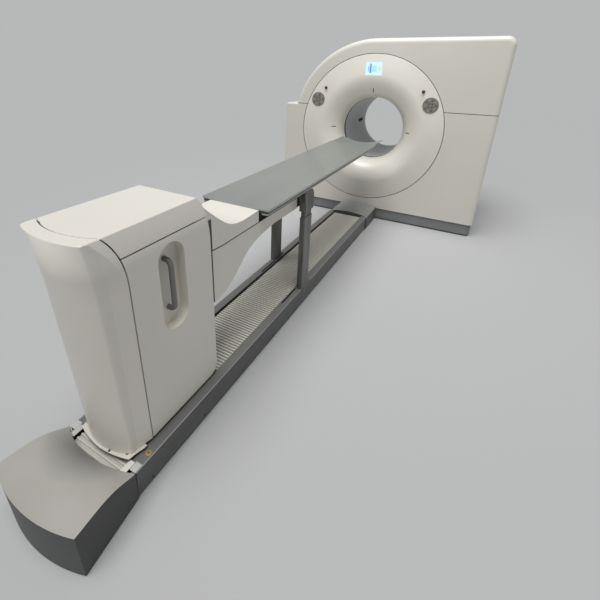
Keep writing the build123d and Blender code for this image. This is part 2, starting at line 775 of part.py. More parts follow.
# Dock plate between gantry and bed; the origin lies on its underside
with BuildPart() as dock_plate:
    with BuildSketch(level(0)):
        with Locations((0, (CHASSIS_GANTRY_Y + DOCK_REACH) / 2)):
            Rectangle(2 * DOCK_HALF, DOCK_REACH - CHASSIS_GANTRY_Y)
    extrude(amount=DOCK_THICK)
save(dock_plate.part, "dock_plate")

# Bed chassis: a long channel with anchor holes in its floor
BED_LENGTH = CHASSIS_GANTRY_Y - BED_END_Y
with BuildPart() as bed_chassis:
    with BuildSketch(across(CHASSIS_GANTRY_Y)):
        with Locations((0, STRIP_BOTTOM / 2)):
            Rectangle(2 * CHASSIS_HALF, STRIP_BOTTOM)
        with Locations((0, CHASSIS_FLOOR + STRIP_BOTTOM / 2)):
            Rectangle(2 * (CHASSIS_HALF - CHASSIS_WALL), STRIP_BOTTOM, mode=Mode.SUBTRACT)
    extrude(amount=BED_LENGTH)
    with BuildSketch(level(0)):
        with Locations(
            [
                (side * BED_ANCHOR_X, hole_y)
                for side in SIDES
                for hole_y in (BED_ANCHOR_TOWER_Y, BED_ANCHOR_GANTRY_Y)
            ]
        ):
            Circle(BED_ANCHOR_HOLE_R)
    extrude(amount=CHASSIS_FLOOR, mode=Mode.SUBTRACT)
save(bed_chassis.part, "bed_chassis")


def guide_section(grow):
    """Section of a guide rail with waisted sides, grown all round for the blocks that run on it."""
    half = GUIDE_WIDTH / 2 + grow
    waist = half - GUIDE_WAIST
    top = CHASSIS_FLOOR + GUIDE_HEIGHT + grow
    waist_low = CHASSIS_FLOOR + GUIDE_HEIGHT * 0.4 - grow
    waist_high = CHASSIS_FLOOR + GUIDE_HEIGHT * 0.7 - grow
    with BuildSketch() as section:
        with BuildLine():
            Polyline(
                (half, CHASSIS_FLOOR), (half, waist_low - GUIDE_WAIST), (waist, waist_low),
                (waist, waist_high), (half, waist_high + GUIDE_WAIST), (half, top), (0, top),
                (0, CHASSIS_FLOOR), (half, CHASSIS_FLOOR),
            )
        make_face()
        mirror(about=Plane.YZ)
    return section.sketch


with BuildPart() as guide_rails:
    with BuildSketch(across(CHASSIS_GANTRY_Y)):
        with Locations((-GUIDE_X, 0), (GUIDE_X, 0)):
            add(guide_section(0))
    extrude(amount=BED_LENGTH)
save(guide_rails.part, "guide_rails")

# Drive spine: a hollow extrusion down the middle that carries the magnets and the slatted cover
with BuildPart() as drive_spine:
    chamber = (SPINE_TOP - CHASSIS_FLOOR - 3 * SPINE_WALL) / 2
    with BuildSketch(across(CHASSIS_GANTRY_Y)):
        with Locations((0, (CHASSIS_FLOOR + SPINE_TOP) / 2)):
            Rectangle(2 * SPINE_HALF, SPINE_TOP - CHASSIS_FLOOR)
            for side in SIDES:
                with Locations((0, side * (chamber + SPINE_WALL) / 2)):
                    Rectangle(2 * (SPINE_HALF - SPINE_WALL), chamber, mode=Mode.SUBTRACT)
    extrude(amount=BED_LENGTH)
save(drive_spine.part, "drive_spine")

# Slatted cover: cross ribs at a close pitch on a thin floor
SLAT_GANTRY_Y = HOOD_Y - SEAM
slat_count = int((SLAT_GANTRY_Y - SLAT_END_Y) / SLAT_PITCH)
rib_line = [(SLAT_END_Y, SPINE_TOP), (SLAT_END_Y, SPINE_TOP + SLAT_FLOOR)]
for index in range(slat_count):
    rib_start = SLAT_END_Y + index * SLAT_PITCH + (SLAT_PITCH - SLAT_RIB) / 2
    rib_line += [
        (rib_start, SPINE_TOP + SLAT_FLOOR),
        (rib_start + SLAT_RIB_TAPER, SLAT_TOP),
        (rib_start + SLAT_RIB - SLAT_RIB_TAPER, SLAT_TOP),
        (rib_start + SLAT_RIB, SPINE_TOP + SLAT_FLOOR),
    ]
rib_line += [(SLAT_GANTRY_Y, SPINE_TOP + SLAT_FLOOR), (SLAT_GANTRY_Y, SPINE_TOP)]
with BuildPart() as slat_cover:
    with BuildSketch(beside(-SLAT_HALF)):
        with BuildLine():
            Polyline(*rib_line, close=True)
        make_face()
    extrude(amount=2 * SLAT_HALF)
save(slat_cover.part, "slat_cover")

# Side rails: a top strip beside the slot and a tapered skirt, in two lengths on each side
EDGE_HALF_TURN = RAIL_EDGE_R * (1 - math.sqrt(0.5))
for node, side, post_y in (
    ("side_rail_left", -1, POST_FAR_Y),
    ("side_rail_right", 1, POST_NEAR_Y),
):
    seam_y = RAIL_SEAM_Y + post_y - POST_NEAR_Y
    with BuildPart() as side_rail:
        for y0, y1 in ((RAIL_END_Y, seam_y - FINE_SEAM), (seam_y, SLAT_GANTRY_Y)):
            with BuildSketch(across(y1)):
                with BuildLine():
                    Polyline(
                        (side * STRIP_INNER, STRIP_BOTTOM),
                        (side * STRIP_INNER, RAIL_TOP),
                        (side * (RAIL_OUTER - RAIL_EDGE_R), RAIL_TOP),
                    )
                    ThreePointArc(
                        (side * (RAIL_OUTER - RAIL_EDGE_R), RAIL_TOP),
                        (side * (RAIL_OUTER - EDGE_HALF_TURN), RAIL_TOP - EDGE_HALF_TURN),
                        (side * RAIL_OUTER, RAIL_TOP - RAIL_EDGE_R),
                    )
                    Polyline(
                        (side * RAIL_OUTER, RAIL_TOP - RAIL_EDGE_R),
                        (side * SKIRT_FOOT, SKIRT_BOTTOM),
                        (side * (SKIRT_FOOT - SKIRT_WALL), SKIRT_BOTTOM),
                        (side * (RAIL_OUTER - 2 * SKIRT_WALL), STRIP_BOTTOM),
                        (side * STRIP_INNER, STRIP_BOTTOM),
                    )
                make_face()
            extrude(amount=y1 - y0)
        with BuildSketch(level(STRIP_BOTTOM)):
            with Locations((side * (STRIP_INNER + POST_SLOT_WIDTH), post_y - POST_SLOT_LENGTH / 2 - SEAM)):
                Rectangle(POST_SLOT_WIDTH, POST_SLOT_LENGTH)
        extrude(amount=RAIL_TOP - STRIP_BOTTOM, mode=Mode.SUBTRACT)
    save(side_rail.part, node)


# Hood over the gantry end of the base
def hood_body(inset):
    """The hood's outside drawn in by inset: a low crowned tunnel with a bowed end."""
    half = RAIL_OUTER - inset
    end_y = HOOD_Y + inset
    with BuildPart() as body:
        with BuildSketch(across(-inset - SEAT_GAP)) as arch:
            with BuildLine():
                ThreePointArc((-half, HOOD_EAVE - inset), (0, HOOD_TOP - inset), (half, HOOD_EAVE - inset))
                Polyline(
                    (half, HOOD_EAVE - inset), (half, DOCK_THICK - inset), (-half, DOCK_THICK - inset),
                    (-half, HOOD_EAVE - inset),
                )
            make_face()
            fillet(arch.vertices().group_by(Axis.Y)[-1], HOOD_CORNER_R - inset)
        extrude(amount=-inset - SEAT_GAP - HOOD_Y)
        with BuildSketch(level(-inset)):
            with BuildLine():
                ThreePointArc((-half, end_y + HOOD_ARC), (0, end_y), (half, end_y + HOOD_ARC))
                Polyline((half, end_y + HOOD_ARC), (half, 0), (-half, 0), (-half, end_y + HOOD_ARC))
            make_face()
        extrude(amount=HOOD_TOP, mode=Mode.INTERSECT)
    return body.part


with BuildPart() as gantry_hood:
    add(hood_body(0))
    add(hood_body(HOOD_WALL), mode=Mode.SUBTRACT)
    add(
        box_between(-RAIL_OUTER, RAIL_OUTER, HOOD_Y, HOOD_Y + HOOD_ARC + HOOD_WALL, 0, HOOD_LIP_Z),
        mode=Mode.SUBTRACT,
    )
save(gantry_hood.part, "gantry_hood")


# End cap: a ramp that widens away from the tower, hollow underneath, on two ribs over the chassis walls
def cap_body(inset):
    """The end cap's outside drawn in by inset."""
    end = CAP_END_HALF - inset
    with BuildPart() as body:
        for z, start_half in ((CAP_BOTTOM - inset, CAP_FOOT_HALF), (CAP_END_Z + CAP_WALL, CAP_START_HALF)):
            start = start_half - inset
            with BuildSketch(level(z)):
                with BuildLine():
                    inner = ThreePointArc(
                        (-start, CAP_START_Y - inset),
                        (0, CAP_INNER_MID_Y - inset),
                        (start, CAP_START_Y - inset),
                    )
                    outer = ThreePointArc(
                        (-end, CAP_END_Y + inset), (0, CAP_OUTER_MID_Y + inset), (end, CAP_END_Y + inset)
                    )
                    Line(inner @ 0, outer @ 0)
                    Line(inner @ 1, outer @ 1)
                make_face()
        loft(ruled=True)
        with BuildSketch(beside(-CAP_END_HALF)):
            with BuildLine():
                Spline(
                    (CAP_START_Y + CAP_WALL, RAIL_TOP - inset),
                    (CAP_SHOULDER_Y, CAP_SHOULDER_Z - inset),
                    (CAP_OUTER_MID_Y - CAP_WALL, CAP_END_Z - inset),
                    tangents=((-1, 0.35), (-1, 0.15)),
                )
                Polyline(
                    (CAP_OUTER_MID_Y - CAP_WALL, CAP_END_Z - inset),
                    (CAP_OUTER_MID_Y - CAP_WALL, CAP_BOTTOM - CAP_WALL),
                    (CAP_START_Y + CAP_WALL, CAP_BOTTOM - CAP_WALL),
                    (CAP_START_Y + CAP_WALL, RAIL_TOP - inset),
                )
            make_face()
        extrude(amount=2 * CAP_END_HALF, mode=Mode.INTERSECT)
    return body.part


with BuildPart() as cap_hollow:
    add(cap_body(CAP_WALL))
    for side in SIDES:
        wall_x = side * (CHASSIS_HALF - CHASSIS_WALL / 2)
        add(
            box_between(
                wall_x - CHASSIS_WALL / 2, wall_x + CHASSIS_WALL / 2,
                BED_END_Y, CAP_SHOULDER_Y, STRIP_BOTTOM, CAP_END_Z,
            ),
            mode=Mode.SUBTRACT,
        )
with BuildPart() as end_cap:
    add(cap_body(0))
    add(cap_hollow.part, mode=Mode.SUBTRACT)
    add(
        box_between(
            -CHASSIS_HALF - SEAT_GAP, CHASSIS_HALF + SEAT_GAP,
            CAP_INNER_MID_Y - 2 * CAP_WALL, CAP_START_Y + CAP_WALL, 0, STRIP_BOTTOM + SEAT_GAP,
        ),
        mode=Mode.SUBTRACT,
    )
save(end_cap.part, "end_cap")

# Support posts: a hollow upright with a flared foot on each side, a head on a stem whose sleeve goes down
# over the upright, and a roller
POST_TOP = HEAD_BOTTOM - STEM_BAND
STEM_BOTTOM = POST_TOP - STEM_ENGAGED
SLEEVE_TOP = POST_TOP + LIFT_STROKE + SEAM
for side_name, side, post_y in (("left", -1, POST_FAR_Y), ("right", 1, POST_NEAR_Y)):
    post_x0 = min(side * POST_INNER, side * RAIL_OUTER)
    post_x1 = max(side * POST_INNER, side * RAIL_OUTER)
    post_y1 = post_y + POST_WIDTH
    with BuildPart() as post:
        with BuildSketch(beside(post_x0)):
            with BuildLine():
                Polyline((post_y1, POST_TOP), (post_y, POST_TOP), (post_y, RAIL_TOP))
                Line((post_y, RAIL_TOP), (post_y1 + POST_FOOT_R, RAIL_TOP))
                JernArc((post_y1 + POST_FOOT_R, RAIL_TOP), (-1, 0), POST_FOOT_R, -90)
                Line((post_y1, RAIL_TOP + POST_FOOT_R), (post_y1, POST_TOP))
            make_face()
        extrude(amount=post_x1 - post_x0)
        add(
            box_between(
                post_x0 + POST_WALL, post_x1 - POST_WALL,
                post_y + POST_WALL, post_y1 - POST_WALL, POST_FLOOR_Z, POST_TOP + 1,
            ),
            mode=Mode.SUBTRACT,
        )
    save(post.part, f"support_post_{side_name}")

    head_x0 = post_x0 - HEAD_WALL
    head_x1 = post_x1 + HEAD_WALL
    head_y0 = post_y - HEAD_WALL
    head_y1 = post_y1 + HEAD_WALL
    head_top = RUNNER_BOTTOM - HEAD_DROP
    roller_y = post_y
    roller_z = RUNNER_BOTTOM - SEAT_GAP - ROLLER_R
    roller_x = (post_x0 + post_x1) / 2
    pocket_half = ROLLER_WIDTH / 2 + ROLLER_POCKET_GAP
    with BuildPart() as head:
        with BuildSketch(beside(head_x0)) as cheek:
            with BuildLine():
                Polyline(
                    (head_y1, HEAD_BOTTOM), (head_y1, head_top), (post_y - HEAD_LEAN, head_top),
                    (post_y - HEAD_LEAN, HEAD_LEAN_Z), (head_y0, HEAD_LEAN_Z - HEAD_LEAN_RISE),
                    (head_y0, HEAD_BOTTOM), (head_y1, HEAD_BOTTOM),
                )
            make_face()
            fillet(cheek.vertices().sort_by_distance((head_y1, head_top))[0], HEAD_CORNER_R)
        extrude(amount=head_x1 - head_x0)
        add(
            box_between(
                post_x0 - STEM_GAP, post_x1 + STEM_GAP, post_y - STEM_GAP, post_y1 + STEM_GAP,
                HEAD_BOTTOM, SLEEVE_TOP,
            ),
            mode=Mode.SUBTRACT,
        )
        add(
            box_between(
                roller_x - pocket_half, roller_x + pocket_half,
                roller_y - ROLLER_R - ROLLER_POCKET_GAP, roller_y + ROLLER_R + ROLLER_POCKET_GAP,
                roller_z - ROLLER_R - ROLLER_POCKET_GAP, head_top,
            ),
            mode=Mode.SUBTRACT,
        )
        with BuildSketch(beside(head_x0)):
            with Locations((roller_y, roller_z)):
                Circle(ROLLER_PIN_R + RUN_GAP)
        extrude(amount=head_x1 - head_x0, mode=Mode.SUBTRACT)
        with BuildSketch(level(STEM_BOTTOM)):
            with Locations((roller_x, (post_y + post_y1) / 2)):
                Rectangle(
                    post_x1 - post_x0 - 2 * (POST_WALL + STEM_GAP),
                    POST_WIDTH - 2 * (POST_WALL + STEM_GAP),
                )
        extrude(amount=SLEEVE_TOP - STEM_BOTTOM)
    save(head.part, f"post_head_{side_name}")

    with BuildPart() as roller:
        with BuildSketch(beside(roller_x - ROLLER_WIDTH / 2)):
            with Locations((roller_y, roller_z)):
                Circle(ROLLER_R)
        extrude(amount=ROLLER_WIDTH)
        with BuildSketch(beside(head_x0)):
            with Locations((roller_y, roller_z)):
                Circle(ROLLER_PIN_R)
        extrude(amount=head_x1 - head_x0)
    save(roller.part, f"support_roller_{side_name}")

# Carriage: deck over the slats, side plates through the slots, blocks on the guide rails, drive coils
with BuildPart() as carriage_frame:
    with BuildSketch(level(DECK_BOTTOM)):
        with Locations((0, (DECK_END_Y + DECK_FRONT_Y) / 2)):
            Rectangle(2 * DECK_HALF, DECK_FRONT_Y - DECK_END_Y)
    extrude(amount=DECK_THICK)
    with BuildSketch(level(BLOCK_BOTTOM)):
        for side in SIDES:
            plate_x = side * (DECK_HALF - SIDE_PLATE / 2)
            with Locations((plate_x, (SIDE_PLATE_END_Y + SIDE_PLATE_FRONT_Y) / 2)):
                Rectangle(SIDE_PLATE, SIDE_PLATE_FRONT_Y - SIDE_PLATE_END_Y)
    extrude(amount=DECK_BOTTOM - BLOCK_BOTTOM)
save(carriage_frame.part, "carriage_frame")

BLOCK_OUTER = DECK_HALF - SIDE_PLATE
with BuildPart() as bearing_blocks:
    for start in (BLOCK_END_Y, BLOCK_FRONT_Y - BLOCK_LENGTH):
        with BuildSketch(across(start + BLOCK_LENGTH)):
            for side in SIDES:
                with Locations((side * (BLOCK_INNER + BLOCK_OUTER) / 2, (BLOCK_BOTTOM + BLOCK_TOP) / 2)):
                    Rectangle(BLOCK_OUTER - BLOCK_INNER, BLOCK_TOP - BLOCK_BOTTOM)
                with Locations((side * GUIDE_X, 0)):
                    add(guide_section(SEAT_GAP), mode=Mode.SUBTRACT)
        extrude(amount=BLOCK_LENGTH)
save(bearing_blocks.part, "bearing_blocks")

with BuildPart() as drive_coils:
    coil_inner = SPINE_HALF + COIL_GAP
    with BuildSketch(level(COIL_BOTTOM)):
        for side in SIDES:
            with Locations((side * (coil_inner + BLOCK_INNER) / 2, (BLOCK_END_Y + BLOCK_FRONT_Y) / 2)):
                Rectangle(BLOCK_INNER - coil_inner, COIL_LENGTH)
    extrude(amount=COIL_TOP - COIL_BOTTOM)
save(drive_coils.part, "drive_coils")


# Tower: one lofted body, hollow and open towards the gantry, parted into end cover, top cover and doors
def mixed(low, high, share):
    """The value that lies a share of the way from low to high."""
    return low + (high - low) * share


def tower_section(z, inset, front_y):
    """Plan of the tower at height z: straight sides, a slanted strip, a tight corner and a bowed end."""
    flare = max(0.0, (z - TOWER_FLARE_Z) / (TOWER_TOP - TOWER_FLARE_Z)) ** 2
    lean = (z - TOWER_BOTTOM) / (TOWER_TOP - TOWER_BOTTOM)
    narrow = (TOWER_HALF - inset) / TOWER_HALF
    half = TOWER_HALF * narrow
    crease_x = mixed(CREASE_HALF, CREASE_TOP_HALF, flare) * narrow
    crease_y = mixed(CREASE_Y, CREASE_TOP_Y, flare) + inset
    corner_x = mixed(END_CORNER_HALF, END_CORNER_TOP_HALF, flare) * narrow
    corner_y = mixed(END_CORNER_Y, END_CORNER_TOP_Y, (lean + flare) / 2) + inset
    end_y = mixed(END_FACE_Y, END_FACE_TOP_Y, lean) + inset
    strip_y = mixed(DOOR_END_Y - STRIP_START, CREASE_TOP_Y + STRIP_START, flare) + inset
    with BuildSketch(level(z)) as plan:
        with BuildLine():
            Polyline((half, strip_y), (half, front_y), (-half, front_y), (-half, strip_y))
            Line((-half, strip_y), (-crease_x, crease_y))
            end_face = ThreePointArc((-corner_x, corner_y), (0, end_y), (corner_x, corner_y))
            Spline((-crease_x, crease_y), (-corner_x, corner_y), tangents=((0.1, -1), end_face % 0))
            Spline((corner_x, corner_y), (crease_x, crease_y), tangents=(end_face % 1, (0.1, 1)))
            Line((crease_x, crease_y), (half, strip_y))
        make_face()
    return plan.sketch


def tower_body(inset, bottom, top, front_y):
    """The tower's body drawn in by inset: a straight foot, and a flared head in one smooth loft."""
    with BuildPart() as body:
        with BuildPart():
            for z in (bottom, TOWER_FLARE_Z):
                add(tower_section(z, inset, front_y))
            loft()
        with BuildPart():
            for share in (0.0, 0.25, 0.5, 0.75, 1.0):
                add(tower_section(mixed(TOWER_FLARE_Z, top, share), inset, front_y))
            loft()
    return body.part


with BuildPart() as tower_shell:
    add(tower_body(0, TOWER_BOTTOM, TOWER_TOP, DOOR_FRONT_Y))
    with BuildSketch(beside(-TOWER_HALF)):
        with BuildLine():
            front = Spline(
                (TOP_FRONT_Y, TOWER_TOP),
                (DOOR_FRONT_Y - FRONT_ROLL_BACK, DOOR_TOP),
                (DOOR_FRONT_Y, DOOR_TOP - FRONT_ROLL_DROP),
                tangents=((1, -0.7), (0, -1)),
            )
            Polyline(front @ 1, (DOOR_FRONT_Y + 1, TOWER_TOP + 1), (TOP_FRONT_Y, TOWER_TOP + 1), front @ 0)
        make_face()
    extrude(amount=2 * TOWER_HALF, mode=Mode.SUBTRACT)
    fillet(tower_shell.faces().sort_by(Axis.Z)[-1].edges(), TOWER_EDGE_R)
    add(
        tower_body(TOWER_WALL, TOWER_BOTTOM - 1, TOWER_TOP - TOWER_WALL, DOOR_FRONT_Y + 1),
        mode=Mode.SUBTRACT,
    )


def end_zone(shift):
    """Everything on the end cover's side of its seam, which curves back near the top."""
    with BuildPart() as zone:
        with BuildSketch(beside(-TOWER_HALF - 1)):
            with BuildLine():
                seam = Spline(
                    (DOOR_END_Y + shift, DOOR_TOP - SEAM_BEND_DROP),
                    (DOOR_END_Y - SEAM_BEND_BACK + shift, DOOR_TOP),
                    (SEAM_TOP_Y + shift, TOWER_TOP + 1),
                    tangents=((0, 1), (-1, 1)),
                )
                Polyline(
                    seam @ 1, (BED_END_Y, TOWER_TOP + 1), (BED_END_Y, 0),
                    (DOOR_END_Y + shift, 0), seam @ 0,
                )
            make_face()
        extrude(amount=2 * TOWER_HALF + 2)
    return zone.part


TOP_SEAM_R = (TOWER_HALF**2 + TOP_SEAM_BOW**2) / (2 * TOP_SEAM_BOW)
TOP_SEAM_Y = SEAM_TOP_Y + SEAM - TOP_SEAM_BOW + TOP_SEAM_R
FAR_Y = 2 * BED_END_Y


def top_lens(grow):
    """The round tongue by which the top cover reaches over the end cover, grown by a seam."""
    with BuildPart() as lens:
        with BuildSketch(level(TOWER_TOP - TOWER_WALL - 1)):
            with Locations((0, TOP_SEAM_Y)):
                Circle(TOP_SEAM_R + grow)
        extrude(amount=TOWER_WALL + 2)
    return lens.part


with BuildPart() as tower_end_cover:
    add(tower_shell.part)
    add(end_zone(0), mode=Mode.INTERSECT)
    add(top_lens(SEAM), mode=Mode.SUBTRACT)
save(tower_end_cover.part, "tower_end_cover")

with BuildPart() as tower_front_shell:
    add(tower_shell.part)
    add(end_zone(SEAM), mode=Mode.SUBTRACT)

with BuildPart() as tower_top_cover:
    with BuildPart(mode=Mode.PRIVATE) as tongue:
        add(tower_shell.part)
        add(top_lens(0), mode=Mode.INTERSECT)
    add(tower_front_shell.part)
    add(
        box_between(-TOWER_HALF, TOWER_HALF, FAR_Y, 0, DOOR_TOP + SEAM / 2, TOWER_TOP),
        mode=Mode.INTERSECT,
    )
    add(tongue.part)
save(tower_top_cover.part, "tower_top_cover")

for node, side in (("door_left", -1), ("door_right", 1)):
    skin_x = side * TOWER_HALF
    recess_plane = Plane(origin=(skin_x, RECESS_Y, RECESS_Z), x_dir=(0, 0, 1), z_dir=(-side, 0, 0))
    with BuildPart() as door:
        add(tower_front_shell.part)
        half_zone = (TOWER_HALF - 2 * TOWER_WALL, TOWER_HALF)
        zone_x = (-half_zone[1], -half_zone[0]) if side < 0 else half_zone
        add(
            box_between(*zone_x, FAR_Y, 0, TOWER_BOTTOM, DOOR_TOP - SEAM / 2),
            mode=Mode.INTERSECT,
        )
        door_edges = door.edges().filter_by(Axis.X).group_by(Axis.Z)[0]
        fillet(door_edges.sort_by(Axis.Y)[-1], DOOR_CORNER_R)
        with BuildSketch(recess_plane):
            SlotOverall(RECESS_HEIGHT + 2 * RECESS_WALL, RECESS_WIDTH + 2 * RECESS_WALL)
        extrude(amount=RECESS_DEPTH + RECESS_WALL)
        with BuildSketch(recess_plane):
            SlotOverall(RECESS_HEIGHT, RECESS_WIDTH)
        extrude(amount=RECESS_DEPTH, mode=Mode.SUBTRACT)
    save(door.part, node)

# Grab handles: bent bars from the recess floor out and back
with BuildPart() as grab_handles:
    for side in SIDES:
        floor_x = side * (TOWER_HALF - RECESS_DEPTH)
        bar_x = floor_x + side * HANDLE_STAND_OFF
        with BuildLine() as bar:
            FilletPolyline(
                (floor_x, RECESS_Y, RECESS_Z + HANDLE_HALF_LENGTH),
                (bar_x, RECESS_Y, RECESS_Z + HANDLE_HALF_LENGTH),
                (bar_x, RECESS_Y, RECESS_Z - HANDLE_HALF_LENGTH),
                (floor_x, RECESS_Y, RECESS_Z - HANDLE_HALF_LENGTH),
                radius=HANDLE_BEND_R,
            )
        with BuildSketch(Plane(origin=bar.line @ 0, z_dir=bar.line % 0)):
            Circle(HANDLE_R)
        sweep(path=bar.line)
save(grab_handles.part, "grab_handles")

# Skirt ring round the tower's foot, on the carriage deck
with BuildPart() as skirt_ring:
    ring_half = DECK_HALF + FINE_SEAM
    ear_start = DECK_END_Y + FINE_SEAM
    corner_y = END_CORNER_Y - 2 * SKIRT_RING_PROUD
    with BuildSketch(level(DECK_BOTTOM)):
        with BuildLine():
            Polyline(
                (END_CORNER_HALF + SKIRT_RING_PROUD, corner_y), (ring_half, CREASE_Y - 2 * SKIRT_RING_PROUD),
                (SKIRT_RING_EAR, DECK_END_Y - SKIRT_RING_PROUD), (SKIRT_RING_EAR, ear_start),
                (ring_half, ear_start), (ring_half, DOOR_FRONT_Y), (0, DOOR_FRONT_Y),
            )
            Line((0, DOOR_FRONT_Y), (0, END_FACE_Y - SKIRT_RING_PROUD))
            ThreePointArc(
                (0, END_FACE_Y - SKIRT_RING_PROUD),
                (END_CORNER_HALF / 2, (3 * END_FACE_Y - 3 * SKIRT_RING_PROUD + corner_y) / 4),
                (END_CORNER_HALF + SKIRT_RING_PROUD, corner_y),
            )
        make_face()
        mirror(about=Plane.YZ)
        with Locations((0, (DECK_END_Y + DECK_FRONT_Y) / 2)):
            Rectangle(
                2 * (DECK_HALF + SEAT_GAP), DECK_FRONT_Y - DECK_END_Y + 2 * SEAT_GAP, mode=Mode.SUBTRACT
            )
    extrude(amount=DECK_THICK)
save(skirt_ring.part, "skirt_ring")

# Mast: a channel with lift rails on its flanges and wings that hold the covers
WING_HALF = TOWER_HALF - TOWER_WALL - WING_GAP
DECK_TOP = DECK_BOTTOM + DECK_THICK
MAST_BACK_Y = DOOR_END_Y + (SEAM - MAST_WALL) / 2
with BuildPart() as mast:
    with BuildSketch(level(DECK_TOP)):
        with Locations((0, MAST_BACK_Y + MAST_WALL / 2)):
            Rectangle(2 * WING_HALF, MAST_WALL)
        for side in SIDES:
            with Locations((side * (MAST_HALF - MAST_WALL / 2), (MAST_BACK_Y + MAST_FRONT_Y) / 2)):
                Rectangle(MAST_WALL, MAST_FRONT_Y - MAST_BACK_Y)
            with Locations((side * LIFT_RAIL_X, MAST_FRONT_Y - MAST_WALL / 2)):
                Rectangle(MAST_HALF - LIFT_RAIL_X + MAST_WALL, MAST_WALL)
            with Locations((side * LIFT_RAIL_X, MAST_FRONT_Y + LIFT_RAIL_DEPTH / 2)):
                Rectangle(LIFT_RAIL_WIDTH, LIFT_RAIL_DEPTH)
    extrude(amount=MAST_TOP - DECK_TOP)
    with BuildSketch(level(MAST_TOP)):
        with Locations((0, (MAST_BACK_Y + MAST_FRONT_Y) / 2)):
            Rectangle(MAST_HALF, MAST_FRONT_Y - MAST_BACK_Y)
    extrude(amount=TOWER_TOP - TOWER_WALL - SEAT_GAP - MAST_TOP)
save(mast.part, "mast")

with BuildPart() as tower_front_panel:
    with BuildSketch(across(PANEL_Y + PANEL_THICK)):
        with Locations((0, (DECK_TOP + DOOR_TOP) / 2)):
            Rectangle(2 * WING_HALF, DOOR_TOP - DECK_TOP)
        with Locations((0, (DECK_TOP + PANEL_SLOT_TOP) / 2)):
            Rectangle(2 * SLIDE_HALF, PANEL_SLOT_TOP - DECK_TOP, mode=Mode.SUBTRACT)
    extrude(amount=PANEL_THICK)
save(tower_front_panel.part, "tower_front_panel")

# Lift slide: a plate with two shoes on the mast's rails
SLIDE_BACK_Y = MAST_FRONT_Y + SEAT_GAP
SLIDE_FRONT_Y = SLIDE_BACK_Y + SLIDE_DEPTH
with BuildPart() as lift_slide:
    with BuildSketch(level(SLIDE_BOTTOM)):
        with Locations((0, (SLIDE_BACK_Y + SLIDE_FRONT_Y) / 2)):
            Rectangle(2 * SLIDE_HALF, SLIDE_DEPTH)
        for side in SIDES:
            with Locations((side * LIFT_RAIL_X, MAST_FRONT_Y + LIFT_RAIL_DEPTH / 2)):
                Rectangle(
                    LIFT_RAIL_WIDTH + 2 * SEAT_GAP, LIFT_RAIL_DEPTH + 2 * SEAT_GAP, mode=Mode.SUBTRACT
                )
    extrude(amount=SLIDE_TOP - SLIDE_BOTTOM)
save(lift_slide.part, "lift_slide")


# Arm: a cast core with lightening pockets inside a cover whose underside sweeps up to the beam
ARM_END_Y = BLOCK_TIP_Y - BLOCK_REACH
ARM_START_Y = DOOR_FRONT_Y + 20


def arm_underside(rise):
    """The arm's lower edge from the tower to the beam's end, raised for the core inside the cover."""
    shares = ((0.15, 0.10), (0.36, 0.42), (0.52, 0.72), (0.74, 0.91))
    bends = [
        (mixed(ARM_START_Y, BEAM_START_Y, along), mixed(ARM_TIP_Z, BEAM_BOTTOM, up) + rise)
        for along, up in shares
    ]
    return Spline(
        (ARM_START_Y, ARM_TIP_Z + rise), *bends, (BEAM_START_Y, BEAM_BOTTOM + rise),
        (ARM_END_Y, BEAM_BOTTOM + rise), tangents=((1, 0.1), (1, 0)),
    )


with BuildPart() as arm_core:
    with BuildSketch(beside(-ARM_CORE_HALF)):
        with BuildLine():
            lower = arm_underside(ARM_CORE_GAP)
            Polyline(
                lower @ 0, (SLIDE_FRONT_Y, ARM_TIP_Z + ARM_CORE_GAP), (SLIDE_FRONT_Y, CORE_TOP),
                (PALLET_FOOT_Y, CORE_TOP), (PALLET_FOOT_Y, PALLET_TOP - PALLET_SAG - PALLET_THICK),
                (ARM_END_Y, PALLET_TOP - PALLET_SAG - PALLET_THICK), lower @ 1,
            )
        make_face()
    extrude(amount=2 * ARM_CORE_HALF)
    pocket_z = CORE_TOP - 0.75 * POCKET_HEIGHT
    pockets = [(POCKET_Y + index * POCKET_PITCH, pocket_z) for index in range(POCKET_COUNT)]
    for side in SIDES:
        with BuildSketch(beside(side * ARM_CORE_HALF)):
            with Locations(pockets):
                RectangleRounded(POCKET_LENGTH, POCKET_HEIGHT, POCKET_HEIGHT / 5)
        extrude(amount=-side * POCKET_DEPTH, mode=Mode.SUBTRACT)
save(arm_core.part, "arm_core")


def neck_plan(neck, half, y0, y1):
    """A block of the bed's head part in plan: narrow between the doors, then widening to its full half."""
    with BuildPart() as block:
        with BuildSketch(level(ARM_TIP_Z)):
            with BuildLine():
                Polyline(
                    (-neck, y0), (-neck, DOOR_FRONT_Y), (-half, DOOR_FRONT_Y + NECK_BLEND), (-half, y1),
                    (half, y1), (half, DOOR_FRONT_Y + NECK_BLEND), (neck, DOOR_FRONT_Y), (neck, y0),
                    close=True,
                )
            make_face()
        extrude(amount=TOWER_TOP - ARM_TIP_Z)
    return block.part


def arm_cover_body(inset):
    """The arm cover's outside drawn in by inset, up to the seam under the tray."""
    with BuildPart() as body:
        with BuildSketch(beside(inset - ARM_HALF)):
            with BuildLine():
                lower = arm_underside(inset)
                Polyline(
                    lower @ 0, (CREST_Y - inset, ARM_TIP_Z + inset),
                    (CREST_Y - inset, TRAY_SEAM_Z - FINE_SEAM + inset),
                    (TRAY_END_Y, TRAY_SEAM_Z - FINE_SEAM + inset), (TRAY_END_Y, BEAM_TOP - inset),
                    (ARM_END_Y, BEAM_TOP - inset), lower @ 1,
                )
            make_face()
        extrude(amount=2 * (ARM_HALF - inset))
        add(
            neck_plan(ARM_NECK_HALF - inset, ARM_HALF - inset, CREST_Y - inset, ARM_END_Y),
            mode=Mode.INTERSECT,
        )
    return body.part


